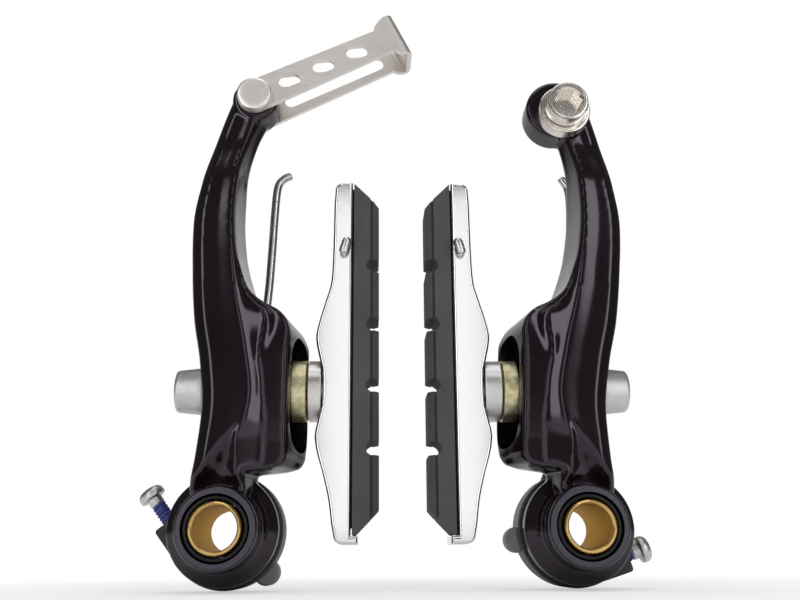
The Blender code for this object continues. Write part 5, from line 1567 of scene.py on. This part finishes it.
def pad_pin(side):
    """The retaining pin: a wire through the shoe whose front end lies bent along its face."""
    half = SHOE_DEPTH / 2
    front = -half - GAP
    count, wire = 32, PIN_RADIUS + GAP
    shank = [[(PIN_RADIUS * math.cos(2 * math.pi * k / count), place,
               PIN_RADIUS * math.sin(2 * math.pi * k / count)) for k in range(count)]
             for place in (half, front)]
    steps = [math.radians(15 * k) for k in range(6)]
    ends = [(wire * math.cos(a), PIN_REACH + wire * math.sin(a)) for a in steps]
    bent = turn(rod([(radius, -place) for radius, place in reversed(ends)] + ends, count, "X"),
                PIN_TILT - math.radians(90))
    pin = solid("pin", shift(loft(shank), pin_place(side)))
    bent = shift(bent, (0.0, front - wire * 0.9, 0.0))
    return worked(pin, ("UNION", shift(bent, pin_place(side))))


# Cable link, rivet and cable anchor


def cable_link():
    """The folded strap: two cheeks, the end wall and its holes, in a frame at the rivet."""
    sheet = LINK_SHEET
    inner_front, inner_back = HEAD_FRONT - GAP, HEAD_BACK + GAP
    front, back = inner_front - sheet, inner_back + sheet
    end, bend, half = LINK_LENGTH, LINK_BEND, LINK_HALF_WIDTH
    start = -half - 0.002
    inner_bend = bend - sheet
    section = [(start, front)]
    section += arc((end - bend, front + bend), bend, -math.pi / 2, 0.0, 10)
    section += arc((end - bend, back - bend), bend, 0.0, math.pi / 2, 10)
    section += [(start, back), (start, inner_back)]
    section += arc((end - bend, back - bend), inner_bend, math.pi / 2, 0.0, 8)
    section += arc((end - bend, front + bend), inner_bend, 0.0, -math.pi / 2, 8)
    section += [(start, inner_front)]
    tall = half + LINK_FLARE + 0.002
    link = solid("link", prism(section, -tall, tall, "Z"))
    flare_start, flare_end = end - 0.0052, end - 0.0024
    outline = arc((0.0, 0.0), half, math.pi / 2, 3 * math.pi / 2, 40)
    outline += rounded([
        (flare_start + 0.0020, -half), (flare_end + 0.0012, -half - LINK_FLARE * 0.6),
        (end + 0.001, -half - LINK_FLARE * 0.6), (end + 0.001, half + LINK_FLARE),
        (flare_end + 0.0004, half + LINK_FLARE), (flare_end - 0.0008, half + LINK_FLARE * 0.75),
        (flare_start, half)], 0.0006, 4)
    steps = [
        ("INTERSECT", prism(outline, front - 2 * PAST, back + 2 * PAST)),
        ("DIFFERENCE", drill(RIVET_RADIUS + GAP, front - PAST, back + PAST, 48)),
    ]
    flat, radius = LINK_HOLE_FLAT, LINK_HOLE_RADIUS
    for k in range(LINK_HOLES):
        oval = (arc((flat, 0.0), radius, -math.pi / 2, math.pi / 2, 20)
                + arc((-flat, 0.0), radius, math.pi / 2, 3 * math.pi / 2, 20))
        hole = turn(prism(oval, front - PAST, inner_front + PAST), LINK_ANGLE * 0.75, "Y")
        steps.append(("DIFFERENCE", shift(hole, (LINK_FIRST_HOLE + k * LINK_HOLE_PITCH, 0, 0))))
    slot_half = half - 0.0021
    slot = (arc((end - 0.0060, 0.0), slot_half, -math.pi / 2, math.pi / 2, 16)
            + arc((half + 0.0042, 0.0), slot_half, math.pi / 2, 3 * math.pi / 2, 16))
    middle = (inner_front + inner_back) / 2
    inside, outside = end - 3 * PAST, end + 2 * PAST
    left, right = middle - LINK_SEAT_SLOT / 2, middle + LINK_SEAT_SLOT / 2
    steps += [
        ("DIFFERENCE", prism(slot, inner_back - PAST, back + PAST)),
        ("DIFFERENCE", shift(drill(LINK_SEAT_RADIUS, inside, outside, 48, "X"), (0, middle, 0))),
        ("DIFFERENCE", prism([(inside, left), (inside, right), (outside, right), (outside, left)],
                             0.0, tall + PAST, "Z")),
    ]
    worked(link, *steps)
    return bevelled(link, 0.00014, 3, 40)


def link_rivet():
    """The rivet through the link's cheeks and the arm's head, with its dished front."""
    front = HEAD_FRONT - GAP - LINK_SHEET - GAP
    back = HEAD_BACK + GAP + LINK_SHEET + GAP
    head, radius = RIVET_HEAD_HEIGHT, RIVET_HEAD_RADIUS
    return solid("rivet", rod([
        (radius - 0.0006, back + head), (radius - 0.0001, back + head - 0.0004),
        (radius, back + 0.0001), (radius, back), (RIVET_RADIUS, back), (RIVET_RADIUS, front),
        (radius - 0.0001, front),
        (radius, front - 0.0001), (radius, front - head + 0.0004),
        (radius - 0.0001, front - head + 0.00022), (radius - 0.0003, front - head + 0.0001),
        (radius - 0.0008, front - head + 0.00004), (radius - 0.0020, front - head),
    ], 80))


def anchor_washer():
    """The thick clamp washer under the anchor bolt's head."""
    back = HEAD_FRONT - GAP
    front = back - ANCHOR_WASHER_THICKNESS
    edge = 0.0004
    bore, radius = ANCHOR_BOLT_RADIUS + GAP, ANCHOR_WASHER_RADIUS
    return solid("washer", turned([
        (bore, back), (radius - edge, back), (radius - edge * 0.3, back - edge * 0.3),
        (radius, back - edge), (radius, front + edge), (radius - edge * 0.3, front + edge * 0.3),
        (radius - edge, front), (bore, front),
    ], 96))


def anchor_bolt():
    """The socket bolt that grips the cable."""
    back = HEAD_FRONT - GAP - ANCHOR_WASHER_THICKNESS - GAP
    front = back - ANCHOR_HEAD_HEIGHT
    head, shank = ANCHOR_HEAD_RADIUS, ANCHOR_BOLT_RADIUS
    tip = HEAD_BACK + 0.0002
    bolt = solid("bolt", rod([
        (shank - 0.0005, tip), (shank, tip - 0.0005), (shank, back), (head - 0.0002, back),
        (head, back - 0.0002), (head, front + 0.0006), (head - 0.00005, front + 0.0004),
        (head - 0.0002, front + 0.00015), (head - 0.0006, front),
    ], 96))
    lead_in = rod([(0.0024, front + 0.0006), (0.0034, front - 0.0006)], 64)
    worked(bolt,
           ("DIFFERENCE", prism(hexagon(ANCHOR_SOCKET), front + ANCHOR_SOCKET_DEPTH, front - PAST)),
           ("DIFFERENCE", lead_in))
    return bevelled(bolt, 0.00008, 2, 40)


# Settings


def colour(name, description, default):
    """A colour setting."""
    return bpy.props.FloatVectorProperty(
        name=name, description=description, default=default, subtype="COLOR", size=3,
        min=0.0, max=1.0)


def length(name, description, default, low, high):
    """A length setting in metres."""
    return bpy.props.FloatProperty(
        name=name, description=description, default=default, min=low, max=high,
        unit="LENGTH", precision=5)


class BrakeColours(bpy.types.PropertyGroup):
    """Colours of the brake's finishes."""
    paint: colour("Arm paint", "Darker colour of the arms' gloss paint", (0.0046, 0.0024, 0.0030))
    paint_tint: colour("Arm paint tint", "Warmer colour that the paint drifts to",
                       (0.0085, 0.0060, 0.0068))
    plastic: colour("Case plastic", "Colour of the spring cases", (0.010, 0.010, 0.011))
    # The lug colour is a plain grey, laid on the outside of each case's stop lug
    lug: colour("Case lug", "Colour of the worn stop lug of each case", (0.16, 0.16, 0.165))
    gold: colour("Gold plate", "Main colour of the pivot sleeves' plating", (0.90, 0.56, 0.15))
    gold_tint: colour("Gold plate tint", "Brighter colour in the plating", (1.00, 0.78, 0.36))
    rubber: colour("Pad rubber", "Darker colour of the rubber blocks", (0.046, 0.046, 0.048))
    rubber_bloom: colour("Pad rubber bloom", "Paler colour of the rubber's dry surface",
                         (0.080, 0.080, 0.083))
    patch: colour("Thread patch", "Colour of the thread-locking patch", (0.012, 0.024, 0.150))
    patch_light: colour("Thread patch highlight", "Paler colour in the patch", (0.030, 0.055, 0.28))
    floor: colour("Floor", "Colour of the floor in the object's light", (0.86, 0.86, 0.86))


class BrakeSizes(bpy.types.PropertyGroup):
    """Sizes of the brake's fine detail."""
    grain: length("Casting grain", "Size of the grid that the arms are melted together on",
                  0.0003, 0.0002, 0.002)
    softness: bpy.props.IntProperty(
        name="Casting softness", description="Rounds of smoothing that round the arms' corners",
        default=12, min=0, max=40)
    teeth: bpy.props.IntProperty(
        name="Sleeve teeth", description="Ridges round the front edge of each pivot sleeve",
        default=60, min=12, max=120)
    screw_pitch: length("Tension screw pitch", "Distance between the threads of a tension screw",
                        0.0007, 0.0003, 0.002)
    lamps: bpy.props.FloatProperty(
        name="Lamps", description="Share of their plain power that the lamps are run at",
        default=1.0, min=0.0, max=10.0, subtype="FACTOR")
    glow: bpy.props.FloatProperty(
        name="Glow", description="Strength of the plain light from all round on the object",
        default=0.6, min=0.0, max=2.0, subtype="FACTOR")
    room: bpy.props.FloatProperty(
        name="Room", description="How bright the room behind the camera is in reflections",
        default=0.09, min=0.0, max=1.0, subtype="FACTOR")


# Operators


class BRAKE_OT_finishes(bpy.types.Operator):
    """Mix the paint, plastics, rubber and platings"""
    bl_idname = "brake.finishes"
    bl_label = "Finishes"

    def execute(self, context):
        FINISHES.update(made_finishes(context.scene.brake_colours))
        return {"FINISHED"}


class BRAKE_OT_arms(bpy.types.Operator):
    """Cast the two arms"""
    bl_idname = "brake.arms"
    bl_label = "Arms"

    def execute(self, context):
        sizes = context.scene.brake_sizes
        for side in SIDES:
            arm = arm_casting(side, sizes.grain, sizes.softness)
            if len(arm.data.polygons) < 5000:
                raise RuntimeError(f"the {side} arm came out empty")
            dress(arm, f"{side}_arm", frames(side)["arm"] @ sided(side), f"{side}_paint", 50, False)
            dress(spring_peg(), f"{side}_spring_peg", frames(side)["arm"] @ sided(side), "zinc")
        return {"FINISHED"}


class BRAKE_OT_pivots(bpy.types.Operator):
    """Make the bushes, pivot sleeves, spring cases and their pins"""
    bl_idname = "brake.pivots"
    bl_label = "Pivots"

    def execute(self, context):
        sizes = context.scene.brake_sizes
        ring = tooth_ring_tree()
        for side in SIDES:
            pivot = frames(side)["pivot"]
            gold = FINISHES[f"{side}_gold"]
            dress(arm_bush(), f"{side}_arm_bush", pivot, "liner")
            dress(pivot_sleeve(ring, sizes.teeth, gold), f"{side}_pivot_sleeve", pivot,
                  f"{side}_gold")
            dress(spring_case(side), f"{side}_spring_case", pivot @ case_pose(side),
                  f"{side}_plastic")
            dress(case_pin(), f"{side}_case_pin", pivot @ case_pose(side), "satin_zinc")
        return {"FINISHED"}


class BRAKE_OT_springs(bpy.types.Operator):
    """Wind the return springs and set their tension screws"""
    bl_idname = "brake.springs"
    bl_label = "Springs and screws"

    def execute(self, context):
        thread = thread_tree()
        for side in SIDES:
            pivot = frames(side)["pivot"]
            dress(return_spring(side), f"{side}_return_spring", pivot @ sided(side), "wire", 60)
            screw = tension_screw(thread, context.scene.brake_sizes.screw_pitch, FINISHES["screw"])
            dress(screw, f"{side}_tension_screw", pivot @ screw_matrix(side), "screw", 40)
        return {"FINISHED"}


class BRAKE_OT_clamps(bpy.types.Operator):
    """Turn the ball washers, barrel nuts and threaded posts"""
    bl_idname = "brake.clamps"
    bl_label = "Pad clamps"

    def execute(self, context):
        thread = thread_tree()
        for side in SIDES:
            place = frames(side)["post"] @ sided(side)
            for kind, finish in (("inner_dome_washer", "yellow_zinc"), ("inner_cup_washer", "zinc"),
                                 ("outer_dome_washer", "yellow_zinc"), ("outer_cup_washer", "zinc")):
                dress(washer(side, kind), f"{side}_{kind}", place, finish)
            dress(pad_nut(side), f"{side}_pad_nut", place, "satin_zinc")
            dress(pad_post(side, thread, FINISHES["zinc"]), f"{side}_pad_post", place, "zinc", 50)
        return {"FINISHED"}


class BRAKE_OT_shoes(bpy.types.Operator):
    """Make the polished holders, their rubber blocks and pins"""
    bl_idname = "brake.shoes"
    bl_label = "Brake shoes"

    def execute(self, context):
        for side in SIDES:
            place = frames(side)["post"] @ sided(side)
            dress(pad_holder(side), f"{side}_pad_holder", place, "holder", 30)
            dress(pad_insert(side), f"{side}_pad_insert", place, "rubber", 30)
            dress(pad_pin(side), f"{side}_pad_pin", place, "zinc")
        return {"FINISHED"}


class BRAKE_OT_cable_fittings(bpy.types.Operator):
    """Fold the cable link, set its rivet and make the cable anchor"""
    bl_idname = "brake.cable_fittings"
    bl_label = "Cable link and anchor"

    def execute(self, context):
        link = Matrix.Translation(head_place("left")) @ Matrix.Rotation(-LINK_ANGLE, 4, "Y")
        dress(cable_link(), "cable_link", link, "strap", 40)
        dress(link_rivet(), "link_rivet", link, "rivet")
        anchor = Matrix.Translation(head_place("right"))
        dress(anchor_washer(), "anchor_washer", anchor, "bolt")
        dress(anchor_bolt(), "anchor_bolt", anchor, "bolt")
        return {"FINISHED"}


def plain_sheet(name, corners, material):
    """A flat four-cornered sheet of the stage."""
    mesh = bpy.data.meshes.new(name)
    mesh.from_pydata(corners, [], [(0, 1, 2, 3)])
    made = bpy.data.objects.new(name, mesh)
    bpy.context.scene.collection.objects.link(made)
    made.data.materials.append(material)
    made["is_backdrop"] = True
    return made


def floor_material(colours):
    """Pale floor that takes the object's shadow near it and fades to white further off."""
    floor = Finish("pale_floor", specular=0.0)
    floor.put(Base_Color=(*colours.floor, 1.0), Roughness=0.9)
    here = floor.node("ShaderNodeTexCoord", output="Object")
    far = floor.node("ShaderNodeVectorMath", {"operation": "LENGTH"}, {0: here}, "Value")
    seen = floor.node("ShaderNodeLightPath", output="Is Camera Ray")
    fade = floor.ramp(far, 0.5, 1.0, (0.06, 0.16)) * seen
    white = floor.node("ShaderNodeEmission", None, {"Color": (1, 1, 1, 1), "Strength": 1.0})
    mixed = floor.node("ShaderNodeMixShader", None,
                       {0: fade, 1: Value(floor, floor.shader.outputs[0]), 2: white})
    floor.plug(floor.tree.nodes["Material Output"].inputs["Surface"], mixed)
    return floor.material


def studio_world(glow, front):
    """White background, with a dimmer room behind the camera and a plain glow on the object."""
    world = bpy.data.worlds.new("studio")
    world.use_nodes = True
    sky = Shading(world.node_tree)
    path = sky.tree.nodes.new("ShaderNodeLightPath")
    camera, glass, gloss = (Value(sky, path.outputs[name]) for name in (
        "Is Camera Ray", "Is Transmission Ray", "Is Glossy Ray"))
    heading = sky.node("ShaderNodeTexCoord", output="Generated")
    split = sky.node("ShaderNodeSeparateXYZ", None, {0: heading}, "Y")
    room = sky.ramp(split, front, 1.0, (0.60, 1.10))
    clear = camera.joined("MAXIMUM", glass)
    shown = clear + (1 - clear) * gloss * room + (1 - clear) * (1 - gloss) * glow
    background = sky.tree.nodes["Background"]
    background.inputs["Color"].default_value = (1, 1, 1, 1)
    sky.plug(background.inputs["Strength"], shown)
    return world


def area_lamp(name, at, aim, width, height, power):
    """A soft rectangular lamp that looks at a point."""
    data = bpy.data.lights.new(name, "AREA")
    data.shape, data.size, data.size_y, data.energy = "RECTANGLE", width, height, power
    lamp = bpy.data.objects.new(name, data)
    lamp.location = at
    lamp.rotation_euler = (Vector(aim) - Vector(at)).to_track_quat("-Z", "Y").to_euler()
    bpy.context.scene.collection.objects.link(lamp)


class BRAKE_OT_stage(bpy.types.Operator):
    """Set the floor, lamps, background and camera"""
    bl_idname = "brake.stage"
    bl_label = "Stage"

    def execute(self, context):
        scene = context.scene
        sizes, colours = scene.brake_sizes, scene.brake_colours
        low, high = (Vector(corner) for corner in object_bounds())
        level = low.z - FLOOR_DROP
        corners = [(x * FLOOR_REACH, y * FLOOR_REACH, level)
                   for x, y in ((-1, -1), (1, -1), (1, 1), (-1, 1))]
        plain_sheet("floor", corners, floor_material(colours))

        scene.world = studio_world(sizes.glow, sizes.room)
        middle = ((low + high) / 2).to_tuple()
        share = sizes.lamps
        area_lamp("key", (0.021, -0.55, 0.147), (0.021, 0.0, 0.10), 0.146, 0.286, share * 0.131)
        area_lamp("brow", (0.0, -0.42, 0.66), middle, 0.50, 0.20, share * 0.42)
        area_lamp("top", (0.0, -0.02, 0.52), middle, 0.30, 0.30, share * 0.42)
        for name, way in (("left_flank", -1), ("right_flank", 1)):
            area_lamp(name, (way * 0.25, -0.37, 0.10), middle, 0.11, 0.50, share * 0.46)

        lens = bpy.data.cameras.new("photo_camera")
        lens.lens, lens.sensor_width, lens.clip_start = CAMERA_LENS, 36.0, 0.005
        camera = bpy.data.objects.new("photo_camera", lens)
        tilt = (Matrix.Rotation(CAMERA_TURN, 3, "Z")
                @ Matrix.Rotation(math.radians(90) + CAMERA_PITCH, 3, "X")
                @ Matrix.Rotation(CAMERA_ROLL, 3, "Z"))
        camera.location = CAMERA_PLACE
        camera.rotation_euler = tilt.to_euler()
        scene.collection.objects.link(camera)
        scene.camera = camera
        scene.view_settings.view_transform = "Standard"
        return {"FINISHED"}


STEPS = (BRAKE_OT_finishes, BRAKE_OT_arms, BRAKE_OT_pivots, BRAKE_OT_springs, BRAKE_OT_clamps,
         BRAKE_OT_shoes, BRAKE_OT_cable_fittings, BRAKE_OT_stage)


class BRAKE_PT_panel(bpy.types.Panel):
    """Lists the settings and the steps that make the brake"""
    bl_idname = "BRAKE_PT_panel"
    bl_label = "Rim Brake"
    bl_space_type = "VIEW_3D"
    bl_region_type = "UI"
    bl_category = "Rim Brake"

    def draw(self, context):
        layout = self.layout
        for heading, settings in (("Sizes", context.scene.brake_sizes),
                                  ("Colours", context.scene.brake_colours)):
            box = layout.box()
            box.label(text=heading)
            for key in settings.__annotations__:
                box.prop(settings, key)
        for step in STEPS:
            layout.operator(step.bl_idname, text=step.bl_label)


CLASSES = (BrakeColours, BrakeSizes, *STEPS, BRAKE_PT_panel)


def register():
    """Add the settings, the steps and the panel."""
    for item in CLASSES:
        bpy.utils.register_class(item)
    bpy.types.Scene.brake_colours = bpy.props.PointerProperty(type=BrakeColours)
    bpy.types.Scene.brake_sizes = bpy.props.PointerProperty(type=BrakeSizes)


def unregister():
    """Take them away again."""
    del bpy.types.Scene.brake_sizes
    del bpy.types.Scene.brake_colours
    for item in reversed(CLASSES):
        bpy.utils.unregister_class(item)


def main():
    """Make the dressed brake."""
    register()
    for step in STEPS:
        group, name = step.bl_idname.split(".")
        getattr(getattr(bpy.ops, group), name)()


if __name__ == "__main__":
    main()
